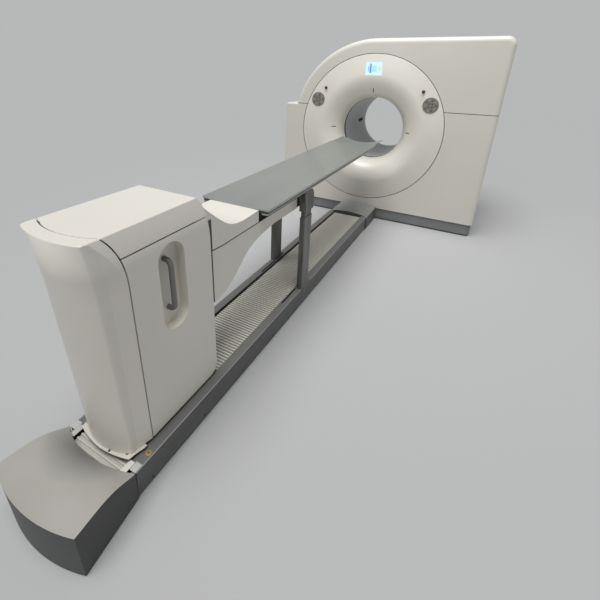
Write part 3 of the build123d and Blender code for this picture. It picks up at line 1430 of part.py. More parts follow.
with BuildPart() as arm_cover:
    add(arm_cover_body(0))
    add(arm_cover_body(ARM_WALL), mode=Mode.SUBTRACT)
    add(
        box_between(
            -ARM_CORE_HALF - SEAT_GAP, ARM_CORE_HALF + SEAT_GAP,
            TRAY_END_Y - 1, ARM_END_Y + 1, BEAM_TOP - 2 * ARM_WALL, TRAY_SEAM_Z,
        ),
        mode=Mode.SUBTRACT,
    )
    add(
        box_between(
            -ARM_CORE_HALF - SEAT_GAP, ARM_CORE_HALF + SEAT_GAP,
            ARM_END_Y - 2 * ARM_WALL, ARM_END_Y + 1, BEAM_BOTTOM + ARM_CORE_GAP, TRAY_SEAM_Z,
        ),
        mode=Mode.SUBTRACT,
    )
save(arm_cover.part, "arm_cover")

with BuildPart() as beam_end_block:
    with BuildSketch(across(BLOCK_TIP_Y)):
        with Locations((0, (BEAM_BOTTOM + BEAM_TOP) / 2)):
            Rectangle(2 * (ARM_HALF - ARM_WALL), BEAM_TOP - BEAM_BOTTOM)
    extrude(amount=BLOCK_TIP_Y - ARM_END_Y)
    fillet(beam_end_block.faces().sort_by(Axis.Y)[-1].edges(), ARM_WALL)
save(beam_end_block.part, "beam_end_block")


# Tray: a back that swoops down from the tower's top to a flat floor behind the pallet's foot
def tray_body(inset):
    """The tray's outside drawn in by inset."""
    foot_z = TRAY_SEAM_Z - inset
    shares = ((0.115, 0.18), (0.32, 0.475), (0.53, 0.735), (0.78, 0.94))
    bends = [
        (mixed(CREST_Y, TRAY_FLOOR_Y, along), mixed(CREST_Z, TRAY_FLOOR_Z, down) - inset)
        for along, down in shares
    ]
    with BuildPart() as body:
        with BuildSketch(beside(-TRAY_HALF)):
            with BuildLine():
                swoop = Spline(
                    (CREST_Y + inset, CREST_Z - inset), *bends, (TRAY_FLOOR_Y, TRAY_FLOOR_Z - inset),
                    (TRAY_END_Y - inset, TRAY_END_Z - inset), tangents=((1, -0.7), (1, 0)),
                )
                Polyline(
                    swoop @ 1, (TRAY_END_Y - inset, foot_z), (CREST_Y + inset, foot_z), swoop @ 0,
                )
            make_face()
        extrude(amount=2 * TRAY_HALF)
        add(
            neck_plan(TRAY_NECK_HALF - inset, TRAY_HALF - inset, CREST_Y, TRAY_END_Y),
            mode=Mode.INTERSECT,
        )
    return body.part


with BuildPart() as tray_cover:
    add(tray_body(0))
    add(tray_body(TRAY_WALL), mode=Mode.SUBTRACT)
    for side in SIDES:
        with BuildSketch(level(CORE_TOP)):
            with Locations((side * ARM_CORE_HALF / 2, TRAY_FLOOR_Y + TRAY_BOSS_LENGTH / 2)):
                Rectangle(2 * TRAY_WALL, TRAY_BOSS_LENGTH)
        extrude(until=Until.NEXT)
save(tray_cover.part, "tray_cover")


# Pallet: a dished board with a thin rim, runner strips under its edges, and a deeper head cradle
def dished_section(y, half, sag, thick, rim, land):
    """Section of the dished board at depth y: an arc on top, a stepped edge, a flat land and an arc below."""
    rim_z = PALLET_TOP - rim
    neck = half - PALLET_NECK
    with BuildSketch(across(y)) as section:
        with BuildLine():
            ThreePointArc((-half, PALLET_TOP), (0, PALLET_TOP - sag), (half, PALLET_TOP))
            Polyline(
                (half, PALLET_TOP), (half, rim_z), (neck, rim_z), (neck, rim_z - rim),
                (neck - land, rim_z - rim),
            )
            ThreePointArc(
                (neck - land, rim_z - rim), (0, PALLET_TOP - sag - thick), (land - neck, rim_z - rim)
            )
            Polyline(
                (land - neck, rim_z - rim), (-neck, rim_z - rim), (-neck, rim_z), (-half, rim_z),
                (-half, PALLET_TOP),
            )
        make_face()
    return section.sketch


with BuildPart() as pallet:
    add(dished_section(PALLET_HEAD_Y, PALLET_HALF, PALLET_SAG, PALLET_THICK, PALLET_RIM, RUNNER_WIDTH))
    extrude(amount=PALLET_HEAD_Y - PALLET_FOOT_Y, dir=(0, -1, 0))
save(pallet.part, "pallet")

with BuildPart() as head_cradle:
    cradle_y = PALLET_HEAD_Y + SEAT_GAP
    cradle_rim = PALLET_RIM / 2
    blend_y = cradle_y + CRADLE_BLEND
    for y, sag in ((cradle_y, PALLET_SAG), (blend_y, CRADLE_SAG)):
        add(dished_section(y, CRADLE_HALF, sag, CRADLE_THICK, cradle_rim, PALLET_RIM))
    loft()
    add(dished_section(CRADLE_END_Y, CRADLE_HALF, CRADLE_SAG, CRADLE_THICK, cradle_rim, PALLET_RIM))
    extrude(amount=CRADLE_END_Y - blend_y, dir=(0, -1, 0))
save(head_cradle.part, "head_cradle")

with BuildPart() as pallet_runners:
    with BuildSketch(across(RUNNER_END_Y)):
        for side in SIDES:
            runner_x = side * (PALLET_HALF - PALLET_NECK - RUNNER_WIDTH / 2)
            with Locations((runner_x, RUNNER_BOTTOM + RUNNER_HEIGHT / 2)):
                Rectangle(RUNNER_WIDTH, RUNNER_HEIGHT)
    extrude(amount=RUNNER_END_Y - PALLET_FOOT_Y)
save(pallet_runners.part, "pallet_runners")
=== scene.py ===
# %% [markdown]
# # A PET-CT scanner, dressed for its portrait
#
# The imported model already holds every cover, rail and post at its real size. This lesson gives those
# pieces their finishes, adds the small trim that a drawing office would leave to the supplier, and sets up
# a camera where the photographer stood. Everything is in metres: X is to the right seen from the bed,
# Y runs into the bore, and Z is up.

# %% Load the frame
import math

import bmesh
import bpy
from mathutils import Matrix, Vector


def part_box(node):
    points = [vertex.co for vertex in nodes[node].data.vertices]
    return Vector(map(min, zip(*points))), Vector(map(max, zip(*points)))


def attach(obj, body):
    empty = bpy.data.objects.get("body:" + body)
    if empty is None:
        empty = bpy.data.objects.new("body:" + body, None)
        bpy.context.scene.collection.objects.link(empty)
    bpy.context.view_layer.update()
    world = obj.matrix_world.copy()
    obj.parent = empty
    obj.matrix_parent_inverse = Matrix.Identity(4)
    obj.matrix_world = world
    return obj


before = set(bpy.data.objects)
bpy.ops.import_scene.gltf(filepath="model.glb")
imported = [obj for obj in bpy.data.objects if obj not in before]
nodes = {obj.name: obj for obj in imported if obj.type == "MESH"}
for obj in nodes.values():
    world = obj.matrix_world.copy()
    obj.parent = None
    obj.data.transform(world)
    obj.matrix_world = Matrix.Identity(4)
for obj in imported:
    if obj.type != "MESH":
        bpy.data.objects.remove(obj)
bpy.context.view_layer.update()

# %% [markdown]
# ## The camera
#
# The photo was taken with a wide phone lens, held at eye height beyond the tower's end. The long straight
# edges of bed and gantry meet at two vanishing points, and those give the lens, the tilt and the place. A
# shift is used because the photo was cropped off-centre; the crop moves the picture, not the eye.

# %% Camera
PHOTO_PX = 600
FOCAL_PX = 368.8
CENTRE_PX = (270.0, 223.3)
EYE = (1.164, -4.295, 1.713)
YAW = -29.45
TILT = 23.2
ROLL = -0.93
SENSOR_MM = 36.0
NEAR_CLIP = 0.05

camera_data = bpy.data.cameras.new("camera")
camera_data.sensor_width = SENSOR_MM
camera_data.lens = SENSOR_MM * FOCAL_PX / PHOTO_PX
camera_data.shift_x = (PHOTO_PX / 2 - CENTRE_PX[0]) / PHOTO_PX
camera_data.shift_y = (CENTRE_PX[1] - PHOTO_PX / 2) / PHOTO_PX
camera_data.clip_start = NEAR_CLIP
camera = bpy.data.objects.new("camera", camera_data)
bpy.context.scene.collection.objects.link(camera)
camera.matrix_world = (
    Matrix.Translation(EYE)
    @ Matrix.Rotation(math.radians(-YAW), 4, "Z")
    @ Matrix.Rotation(math.radians(90 - TILT), 4, "X")
    @ Matrix.Rotation(math.radians(-ROLL), 4, "Z")
)
bpy.context.scene.camera = camera
print("lens", round(camera_data.lens, 2), "mm")
print("shift", round(camera_data.shift_x, 3), round(camera_data.shift_y, 3))

# %% [markdown]
# ## Floor
#
# A plain pale floor keeps the eye on the machine and takes its soft shadow. It is one big sheet, a hair below
# zero, so that it never fights with the pieces that stand on it.

# %% Floor
FLOOR_TONE = (0.408, 0.413, 0.411)
FLOOR_HALF = 40.0
FLOOR_Z = -0.001

floor_mesh = bpy.data.meshes.new("studio_floor")
corners = [(-1, -1), (1, -1), (1, 1), (-1, 1)]
floor_mesh.from_pydata([(x * FLOOR_HALF, y * FLOOR_HALF, FLOOR_Z) for x, y in corners], [], [(0, 1, 2, 3)])
floor = bpy.data.objects.new("studio_floor", floor_mesh)
bpy.context.scene.collection.objects.link(floor)
floor_paint = bpy.data.materials.new("studio_floor")
floor_paint.use_nodes = True
floor_shader = floor_paint.node_tree.nodes["Principled BSDF"]
floor_shader.inputs["Base Color"].default_value = (*FLOOR_TONE, 1)
floor_shader.inputs["Roughness"].default_value = 0.85
floor_shader.inputs["Specular IOR Level"].default_value = 0.2
floor_mesh.materials.append(floor_paint)
print("floor", 2 * FLOOR_HALF, "m across")

# %% [markdown]
# ## Backdrop and sky
#
# What the camera sees past the floor's edge is the world, in the tone that the lit floor takes, so no horizon
# cuts through the picture. The Light Path node tells the rays apart: camera rays and reflections get that
# tone, and all others get a dimmer sky, which does the lighting. The Standard view shows colours as written.

# %% World
BACKDROP_TONE = (0.472, 0.479, 0.479)
SKY_TONE = (0.96, 0.97, 1.0)
SKY_LEVEL = 0.22

world = bpy.data.worlds.new("studio")
world.use_nodes = True
world_nodes = world.node_tree.nodes
world_links = world.node_tree.links
sky = world_nodes["Background"]
sky.inputs["Color"].default_value = (*SKY_TONE, 1)
sky.inputs["Strength"].default_value = SKY_LEVEL
backdrop = world_nodes.new("ShaderNodeBackground")
backdrop.inputs["Color"].default_value = (*BACKDROP_TONE, 1)
backdrop.inputs["Strength"].default_value = 1.0
ray = world_nodes.new("ShaderNodeLightPath")
seen = world_nodes.new("ShaderNodeMath")
seen.operation = "MAXIMUM"
pick = world_nodes.new("ShaderNodeMixShader")
world_links.new(ray.outputs["Is Camera Ray"], seen.inputs[0])
world_links.new(ray.outputs["Is Glossy Ray"], seen.inputs[1])
world_links.new(seen.outputs["Value"], pick.inputs["Fac"])
world_links.new(sky.outputs["Background"], pick.inputs[1])
world_links.new(backdrop.outputs["Background"], pick.inputs[2])
world_links.new(pick.outputs["Shader"], world_nodes["World Output"].inputs["Surface"])
bpy.context.scene.world = world
bpy.context.scene.view_settings.view_transform = "Standard"
print("sky at", SKY_LEVEL, "with the backdrop at", BACKDROP_TONE)

# %% [markdown]
# ## Light
#
# The photo's room has rows of ceiling panels: tops are bright, upright faces a good deal darker, and shadows
# have no hard edge. A sun with a very wide disc gives just that over the whole length of the machine, which
# a lamp close by couldn't do evenly. It leans a little to the bed's end, so the faces towards the camera get
# some of it. One soft panel over the bore adds the lift that the gantry's face has in the photo.

# %% Lamps
SUN_LEVEL = 2.95
SUN_DISC = 45.0
SUN_LEAN = 13.0
PANEL_PLACE = Vector((0.2, -1.5, 3.3))
PANEL_TARGET = Vector((0.1, 0.0, 1.3))
PANEL_SIZE = 1.8
PANEL_WATTS = 20.0

sun = bpy.data.lights.new("ceiling", "SUN")
sun.energy = SUN_LEVEL
sun.angle = math.radians(SUN_DISC)
sun_lamp = bpy.data.objects.new("ceiling", sun)
sun_lamp.rotation_euler = (math.radians(SUN_LEAN), 0, 0)
bpy.context.scene.collection.objects.link(sun_lamp)

panel = bpy.data.lights.new("bore_panel", "AREA")
panel.shape = "SQUARE"
panel.size = PANEL_SIZE
panel.energy = PANEL_WATTS
panel_lamp = bpy.data.objects.new("bore_panel", panel)
panel_lamp.location = PANEL_PLACE
panel_lamp.rotation_euler = (PANEL_TARGET - PANEL_PLACE).to_track_quat("-Z", "Y").to_euler()
bpy.context.scene.collection.objects.link(panel_lamp)
print("lit by", len(bpy.data.lights), "soft lamps and the sky")

# %% [markdown]
# ## A base for every finish
#
# Each finish below is a Principled shader with its roughness, metal and coat set. What varies it is noise.
# The noise reads object coordinates in metres, so its scale is the real scale, and it stays put when a
# piece moves.

# %% Finish base
NOISE_DETAIL = 3.0
EVEN = (1, 1, 1)


def new_finish(name, colour, roughness, metallic=0.0, coat=0.0):
    """A material with its Principled shader set, returned with its node tree and shader."""
    material = bpy.data.materials.new(name)
    material.use_nodes = True
    tree = material.node_tree
    shader = tree.nodes["Principled BSDF"]
    shader.inputs["Base Color"].default_value = (*colour, 1)
    shader.inputs["Roughness"].default_value = roughness
    shader.inputs["Metallic"].default_value = metallic
    shader.inputs["Coat Weight"].default_value = coat
    return material, tree, shader


def metre_noise(tree, scale, stretch):
    """Noise in object coordinates; a stretch under 1 draws it out along that axis."""
    place = tree.nodes.new("ShaderNodeTexCoord")
    shape = tree.nodes.new("ShaderNodeMapping")
    shape.inputs["Scale"].default_value = stretch
    noise = tree.nodes.new("ShaderNodeTexNoise")
    noise.inputs["Scale"].default_value = scale
    noise.inputs["Detail"].default_value = NOISE_DETAIL
    tree.links.new(place.outputs["Object"], shape.inputs["Vector"])
    tree.links.new(shape.outputs["Vector"], noise.inputs["Vector"])
    return noise.outputs["Fac"]


print("noise detail:", NOISE_DETAIL)

# %% [markdown]
# ## Colour that wanders, and grain
#
# Real surfaces are never one flat colour. The colour of a finish drifts a little with a soft noise, and its
# surface has a fine bump: orange peel on paint, grain on moulded plastic, streaks on worn powder coat. The
# last helper puts a finish on pieces of the model, which keep their shape and place.

# %% Colour, grain and wear


def wander(tree, shader, colour, other, scale, low=0.4, high=0.6, stretch=EVEN):
    """Colour that drifts between two tones, with one below low in the noise and the other above high."""
    ramp = tree.nodes.new("ShaderNodeValToRGB")
    ramp.color_ramp.elements[0].position = low
    ramp.color_ramp.elements[0].color = (*colour, 1)
    ramp.color_ramp.elements[1].position = high
    ramp.color_ramp.elements[1].color = (*other, 1)
    tree.links.new(metre_noise(tree, scale, stretch), ramp.inputs["Fac"])
    tree.links.new(ramp.outputs["Color"], shader.inputs["Base Color"])


def grain(tree, shader, scale, depth, strength, stretch=EVEN):
    """A fine bump, with its depth in metres."""
    bump = tree.nodes.new("ShaderNodeBump")
    bump.inputs["Strength"].default_value = strength
    bump.inputs["Distance"].default_value = depth
    tree.links.new(metre_noise(tree, scale, stretch), bump.inputs["Height"])
    tree.links.new(bump.outputs["Normal"], shader.inputs["Normal"])


def grained(name, colour, roughness, scale, depth, strength):
    """A finish in one colour with a fine bump, for the plainer pieces."""
    material, tree, shader = new_finish(name, colour, roughness)
    grain(tree, shader, scale, depth, strength)
    return material


def wear(material, *names):
    """Give CAD pieces this finish in all their slots."""
    for name in names:
        mesh = nodes[name].data
        mesh.materials.clear()
        mesh.materials.append(material)
    print(material.name, "on", len(names), "pieces")


print("pieces to dress:", len(nodes))

# %% [markdown]
# ## What a surface knows about itself
#
# Several mouldings change tone with their form: a rail's top is painted paler than its skirt, as painted
# light from above, and a rib's valley is a shade darker than its top. A shader can read all that from the
# mesh: its own place, its slope and its distance from a point. The slope comes from the surface normal in
# world space, so no camera is involved.

# %% Place and slope


def axis_value(tree, source, axis):
    """One coordinate of the object's own place ("Object") or of its surface normal ("Normal")."""
    kind = "ShaderNodeTexCoord" if source == "Object" else "ShaderNodeNewGeometry"
    place = tree.nodes.new(kind)
    split = tree.nodes.new("ShaderNodeSeparateXYZ")
    tree.links.new(place.outputs[source], split.inputs["Vector"])
    return split.outputs[axis]


def distance_from(tree, point, across=EVEN):
    """Metres from a point to the object's own place; an axis with 0 in across isn't counted."""
    place = tree.nodes.new("ShaderNodeTexCoord")
    shift = tree.nodes.new("ShaderNodeMapping")
    shift.inputs["Location"].default_value = [-p * a for p, a in zip(point, across)]
    shift.inputs["Scale"].default_value = across
    length = tree.nodes.new("ShaderNodeVectorMath")
    length.operation = "LENGTH"
    tree.links.new(place.outputs["Object"], shift.inputs["Vector"])
    tree.links.new(shift.outputs["Vector"], length.inputs[0])
    return length.outputs["Value"]


def maths(tree, operation, *terms, clamp=False):
    """A Math node; each term is a number or the output of another node."""
    node = tree.nodes.new("ShaderNodeMath")
    node.operation = operation
    node.use_clamp = clamp
    for slot, term in zip(node.inputs, terms):
        if isinstance(term, float):
            slot.default_value = term
        else:
            tree.links.new(term, slot)
    return node.outputs["Value"]


# %% [markdown]
# ## Masks
#
# A mask is 0 where a colour stays and 1 where another covers it, with a short ramp between, so that edges
# stay smooth in the render. Map Range turns a place or a slope into one, multiplying two gives their
# overlap, and the last helper lays a colour over what the shader already has.

# %% Masks


def mask(tree, value, low, high):
    """0 below low and 1 above high; with low above high it runs the other way."""
    span = tree.nodes.new("ShaderNodeMapRange")
    span.inputs["From Min"].default_value = low
    span.inputs["From Max"].default_value = high
    tree.links.new(value, span.inputs["Value"])
    return span.outputs["Result"]


def steeper(tree, flat, steep):
    """A mask of the sides; flat and steep are the upward parts of the normal that it rises between."""
    return mask(tree, axis_value(tree, "Normal", "Z"), flat, steep)


def both(tree, first, second):
    """The overlap of two masks."""
    return maths(tree, "MULTIPLY", first, second)


def band(tree, value, middle, half, soft):
    """1 within half of the middle, and 0 beyond a soft edge on each side."""
    rising = mask(tree, value, middle - half - soft, middle - half)
    falling = mask(tree, value, middle + half + soft, middle + half)
    return both(tree, rising, falling)


def over(tree, shader, where, colour):
    """Lay a colour over what the shader has, where the mask is 1."""
    base = shader.inputs["Base Color"]
    mix = tree.nodes.new("ShaderNodeMix")
    mix.data_type = "RGBA"
    mix.inputs["B"].default_value = (*colour, 1)
    if base.links:
        tree.links.new(base.links[0].from_socket, mix.inputs["A"])
    else:
        mix.inputs["A"].default_value = base.default_value
    tree.links.new(where, mix.inputs["Factor"])
    tree.links.new(mix.outputs["Result"], base)


print("kinds of mask:", len((mask, steeper, both, band)))

# %% [markdown]
# ## The white covers
#
# The covers are moulded shells, sprayed a warm off-white with a satin gloss. From a step away the paint
# reads as smooth, but light rakes over it with a very faint orange peel, so the bump is fine and shallow.
# A coat layer gives the soft highlights on the rolled edges.

# %% Cover paint
COVER = (0.735, 0.705, 0.635)
COVER_SHADE = (0.705, 0.675, 0.605)


def cover_finish(name, colour=COVER, shade=COVER_SHADE):
    """The white paint, as a material of its own so that one piece can vary it."""
    material, tree, shader = new_finish(name, colour, roughness=0.34, coat=0.25)
    shader.inputs["Coat Roughness"].default_value = 0.18
    wander(tree, shader, colour, shade, scale=1.3, low=0.35, high=0.65)
    grain(tree, shader, scale=420.0, depth=0.0002, strength=0.12)
    return material, tree, shader


cover_paint, tree, shader = cover_finish("cover_paint")
wear(
    cover_paint,
    "front_lower_cover", "front_upper_cover", "left_side_cover", "right_side_cover",
    "gantry_top_cover", "rear_cover", "rear_ring_cover", "arm_core",
)

# %% [markdown]
# ## The bore's ring cover
#
# The large ring round the bore is crowned, like a shallow dish turned outwards, so its upper part catches the
# ceiling light and its lower part sees the floor. In the solid this ring is flat up to the flare. A bump
# turns the light as the crown would and leaves outline and seam alone: the height falls with the distance
# from the bore's axis, and a smooth maximum fades it out where the flare begins. Its paint is also a paler
# copy of the covers' white, painted light for the brighter face.

# %% Ring paint
# Painted light: the ring's paint is a paler copy of the covers' white.
RING_LIT_COVER = (0.83, 0.80, 0.72)
RING_LIT_COVER_TINT = (0.80, 0.77, 0.69)
BORE_HEIGHT = 1.043
CROWN_SLOPE = 0.19
CROWN_START = 0.60
CROWN_BLEND = 0.12


def crown_surface(tree, shader, distance, slope):
    """Bend the surface as if it fell away with a distance in metres, under the fine bump."""
    fine_bump = shader.inputs["Normal"].links[0].from_node
    crown = tree.nodes.new("ShaderNodeBump")
    crown.inputs["Strength"].default_value = 1.0
    crown.inputs["Distance"].default_value = 1.0
    tree.links.new(maths(tree, "MULTIPLY", distance, -slope), crown.inputs["Height"])
    tree.links.new(crown.outputs["Normal"], fine_bump.inputs["Normal"])


ring_paint, tree, shader = cover_finish("ring_paint", RING_LIT_COVER, RING_LIT_COVER_TINT)
radius = distance_from(tree, (0, 0, BORE_HEIGHT), across=(1, 0, 1))
crown_surface(tree, shader, maths(tree, "SMOOTH_MAX", radius, CROWN_START, CROWN_BLEND), CROWN_SLOPE)
wear(ring_paint, "front_ring_cover")
print("the ring's light turns by", round(math.degrees(math.atan(CROWN_SLOPE))), "degrees")

# %% [markdown]
# ## The tower's shoulder
#
# The tower's covers roll inwards over their last hand's width, so the sides brighten towards the top. The
# solid has the roll as a flat face with a small edge, and the same kind of bump finishes it. The fall grows
# with the square of the height above the roll's start, which is what a round shoulder does. The light comes
# from above and hardly reaches an upright face, so upright faces get painted light, paler towards the top.

# %% Tower paint
ROLL_START = 1.045
ROLL_BEND = 2.1
SHOULDER_LIT = (0.93, 0.90, 0.82)
SHOULDER_TOP = 1.2

tower_paint, tree, shader = cover_finish("tower_paint")
height = axis_value(tree, "Object", "Z")
rise = maths(tree, "SUBTRACT", height, ROLL_START, clamp=True)
crown_surface(tree, shader, maths(tree, "POWER", rise, 2.0), ROLL_BEND)
upright = steeper(tree, flat=0.5, steep=0.1)
# Painted light: upright faces are painted paler towards the top of the shoulder.
over(tree, shader, both(tree, upright, mask(tree, height, ROLL_START, SHOULDER_TOP)), SHOULDER_LIT)
wear(tower_paint, "tower_end_cover", "tower_top_cover", "door_left", "door_right")

# %% [markdown]
# ## Arm covers
#
# The arm slides behind the doors, and painted shade, black, covers it behind the door's edge, where the
# running gap is. The joint between the arm and its tray has a dark band of painted shade, for the shadow
# under the tray's edge. Both are bands in the paint, and they take their places from the boxes of the
# pieces next to them, so they follow if the model changes.

# %% Arm paint
SHADE_AND_RUBBER_BLACK = (0.022, 0.022, 0.022)
JOINT_SHADE = (0.07, 0.068, 0.06)
JOINT_SHADE_HALF = 0.0038
JOINT_SHADE_SOFT = 0.0005
MASK_WIDTH = 0.022
MASK_SOFT = 0.001
MASK_DROP = 0.02
MASK_FADE = 0.01

door_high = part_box("door_right")[1]
mask_end_y = door_high[1] + MASK_WIDTH
mask_top_z = door_high[2] - MASK_DROP
joint_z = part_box("arm_cover")[1][2]
arm_paint, tree, shader = cover_finish("arm_paint")
height = axis_value(tree, "Object", "Z")
behind_door = mask(tree, axis_value(tree, "Object", "Y"), mask_end_y, mask_end_y - MASK_SOFT)
below_top = mask(tree, height, mask_top_z, mask_top_z - MASK_FADE)
# Painted shade: black on the arm behind the door's edge, for the shadow in the running gap.
over(tree, shader, both(tree, behind_door, below_top), SHADE_AND_RUBBER_BLACK)
# Painted shade: a dark band at the arm's joint with the tray, for the shadow under the tray's edge.
over(tree, shader, band(tree, height, joint_z, JOINT_SHADE_HALF, JOINT_SHADE_SOFT), JOINT_SHADE)
wear(arm_paint, "arm_cover", "tray_cover")
print("arm joint at", round(joint_z, 3), "m")

# %% [markdown]
# ## The ring at the tower's foot
#
# The skirt ring is a painted ledge over a rubber edge that brushes the rails. The paint is a shade darker
# than the covers, and everything below the ledge's lip is black: the rubber edge, and painted shade for the
# dark gap under the doors.

# %% Skirt paint
SKIRT = (0.56, 0.535, 0.475)
SKIRT_SHADE = (0.53, 0.505, 0.45)
LIP = 0.0008
LIP_SOFT = 0.0006

skirt_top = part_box("skirt_ring")[1][2]
skirt_paint, tree, shader = cover_finish("skirt_paint", SKIRT, SKIRT_SHADE)
height = axis_value(tree, "Object", "Z")
# Black below the lip: the rubber edge, and painted shade for the gap under the doors.
over(tree, shader, mask(tree, height, skirt_top - LIP, skirt_top - LIP - LIP_SOFT), SHADE_AND_RUBBER_BLACK)
wear(skirt_paint, "skirt_ring")

# %% [markdown]
# ## Grey mouldings
#
# The plinth, the hood and the end cap are textured plastic with a fine leather grain. The tops of hood
# and cap are painted lighter and their sides darker, as painted light from above and painted shade on the
# sides; the slope mask splits the two at the rolled edge. The cap's top also has a painted shadow of the
# tower, darkest near its foot.

# %% Plinth, hood and end cap
PLINTH = (0.20, 0.205, 0.205)
PLINTH_SHADE = (0.225, 0.23, 0.23)
HOOD_LIT_TOP = (0.26, 0.26, 0.25)
HOOD_LIT_TOP_TINT = (0.29, 0.29, 0.28)
HOOD_SHADED_SIDE = (0.092, 0.094, 0.092)
CAP_LIT_TOP = (0.325, 0.315, 0.285)
CAP_LIT_TOP_TINT = (0.35, 0.34, 0.31)
CAP_SHADED_SIDE = (0.05, 0.052, 0.05)
CAP_TOWER_SHADOW = (0.13, 0.13, 0.12)
CAP_SHADOW_PLACE = (-0.03, -3.70, 0.17)
CAP_SHADOW_CORE = 0.06
CAP_SHADOW_EDGE = 0.22


def moulding(name, colour, shade, roughness, scale):
    """Textured plastic with a leather grain."""
    material, tree, shader = new_finish(name, colour, roughness)
    wander(tree, shader, colour, shade, scale, low=0.35, high=0.7)
    grain(tree, shader, scale=900.0, depth=0.0004, strength=0.35)
    return material, tree, shader


plinth_grey, tree, shader = moulding("plinth_grey", PLINTH, PLINTH_SHADE, roughness=0.52, scale=5.0)
wear(plinth_grey, "plinth_band")

hood_grey, tree, shader = moulding("hood_grey", HOOD_LIT_TOP, HOOD_LIT_TOP_TINT, roughness=0.5, scale=6.0)
# Painted light and shade: the hood's top is lighter and its sides darker.
over(tree, shader, steeper(tree, flat=0.55, steep=0.30), HOOD_SHADED_SIDE)
wear(hood_grey, "gantry_hood")

cap_grey, tree, shader = moulding("cap_grey", CAP_LIT_TOP, CAP_LIT_TOP_TINT, roughness=0.5, scale=6.0)
# Painted shadow of the tower on the cap's top, darkest near its foot.
over(tree, shader, mask(tree, distance_from(tree, CAP_SHADOW_PLACE), CAP_SHADOW_EDGE, CAP_SHADOW_CORE), CAP_TOWER_SHADOW)
# Painted light and shade: the cap's top is lighter and its sides darker.
over(tree, shader, steeper(tree, flat=0.6, steep=0.4), CAP_SHADED_SIDE)
wear(cap_grey, "end_cap")

# %% [markdown]
# ## Side rails
#
# The rails are powder-coated steel, and scuffs run along the bed. The rounded outer edge has a painted
# highlight, a bright line. The top is painted paler than the side, as painted light from above, and beside
# the parked tower it is darker, a painted shadow of the tower. The slope picks the edge and the top out of
# one mesh.

# %% Rails
RAIL_SIDE_SHADED = (0.066, 0.068, 0.066)
RAIL_SCUFF = (0.10, 0.102, 0.10)
RAIL_TOP_IN_TOWER_SHADE = (0.125, 0.127, 0.122)
RAIL_TOP_LIT = (0.175, 0.177, 0.17)
RAIL_EDGE_HIGHLIGHT = (0.28, 0.28, 0.27)
LIT_TOP_START_Y = -3.12
LIT_TOP_FULL_Y = -3.02

rail_coat, tree, shader = new_finish("rail_coat", RAIL_SIDE_SHADED, roughness=0.42, coat=0.1)
wander(tree, shader, RAIL_SIDE_SHADED, RAIL_SCUFF, scale=9.0, low=0.45, high=0.75, stretch=(1, 0.08, 1))
slope = axis_value(tree, "Normal", "Z")
flat_top = mask(tree, slope, 0.90, 0.97)
beyond_tower = mask(tree, axis_value(tree, "Object", "Y"), LIT_TOP_START_Y, LIT_TOP_FULL_Y)
# Painted highlight: a bright line on the rounded outer edge.
over(tree, shader, mask(tree, slope, 0.35, 0.55), RAIL_EDGE_HIGHLIGHT)
# Painted light: the top is paler than the side, and darker beside the tower, a painted shadow of the tower.
over(tree, shader, flat_top, RAIL_TOP_IN_TOWER_SHADE)
over(tree, shader, both(tree, flat_top, beyond_tower), RAIL_TOP_LIT)
grain(tree, shader, scale=700.0, depth=0.0003, strength=0.3)
wear(rail_coat, "side_rail_left", "side_rail_right")

# %% [markdown]
# ## Support posts
#
# The posts have the same coat and carry streaks from cleaning. The noise is drawn out twelve times along Z,
# so it reads as wiping marks that run down the post.

# %% Posts
POST = (0.072, 0.072, 0.066)
POST_STREAK = (0.19, 0.185, 0.17)

post_coat, tree, shader = new_finish("post_coat", POST, roughness=0.4, coat=0.1)
wander(tree, shader, POST, POST_STREAK, scale=34.0, low=0.38, high=0.78, stretch=(1, 1, 0.08))
grain(tree, shader, scale=260.0, depth=0.0003, strength=0.35, stretch=(1, 1, 0.1))
wear(post_coat, "support_post_left", "support_post_right", "post_head_left", "post_head_right")

# %% [markdown]
# ## Slatted cover
#
# The ribs are light grey plastic, a shade darker between them. Rather than painting stripes, the colour
# follows height: the CAD ribs already have their true form, so whatever lies below the rib tops is a shade
# darker. Behind the parked tower, where it stands over them, ribs and valleys are painted darker and closer
# in tone: painted shade under the tower.

# %% Slats
SLAT = (0.82, 0.80, 0.715)
VALLEY_TONE = (0.40, 0.39, 0.345)
RIB_TOWER_SHADE = (0.50, 0.48, 0.425)
VALLEY_TOWER_SHADE = (0.41, 0.395, 0.35)
TOWER_SHADE_END_Y = -3.60
TOWER_SHADE_BLEND = 0.05
RIB_CROWN = 0.0005
RIB_RISE = 0.0055

rib_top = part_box("slat_cover")[1][2]
slat_tones, tree, shader = new_finish("slat_tones", SLAT, roughness=0.5)
valley = mask(tree, axis_value(tree, "Object", "Z"), rib_top - RIB_CROWN, rib_top - RIB_RISE)
along = axis_value(tree, "Object", "Y")
clear_of_tower = mask(tree, along, TOWER_SHADE_END_Y - TOWER_SHADE_BLEND, TOWER_SHADE_END_Y + TOWER_SHADE_BLEND)
parked = mask(tree, along, TOWER_SHADE_END_Y + TOWER_SHADE_BLEND, TOWER_SHADE_END_Y - TOWER_SHADE_BLEND)
# Painted shade under the parked tower: ribs and valleys darker there.
over(tree, shader, parked, RIB_TOWER_SHADE)
over(tree, shader, valley, VALLEY_TOWER_SHADE)
over(tree, shader, both(tree, valley, clear_of_tower), VALLEY_TONE)
grain(tree, shader, scale=500.0, depth=0.0003, strength=0.25)
wear(slat_tones, "slat_cover")

# %% [markdown]
# ## Pallet
#
# The pallet is a carbon-fibre board in a grey-green skin, smooth and slightly glossy, a little cloudy where
# it has been wiped. Its rim's upright edge has a pale band of painted highlight with a dark line of painted
# shade below it, and a fine joint crosses it where the head cradle begins.

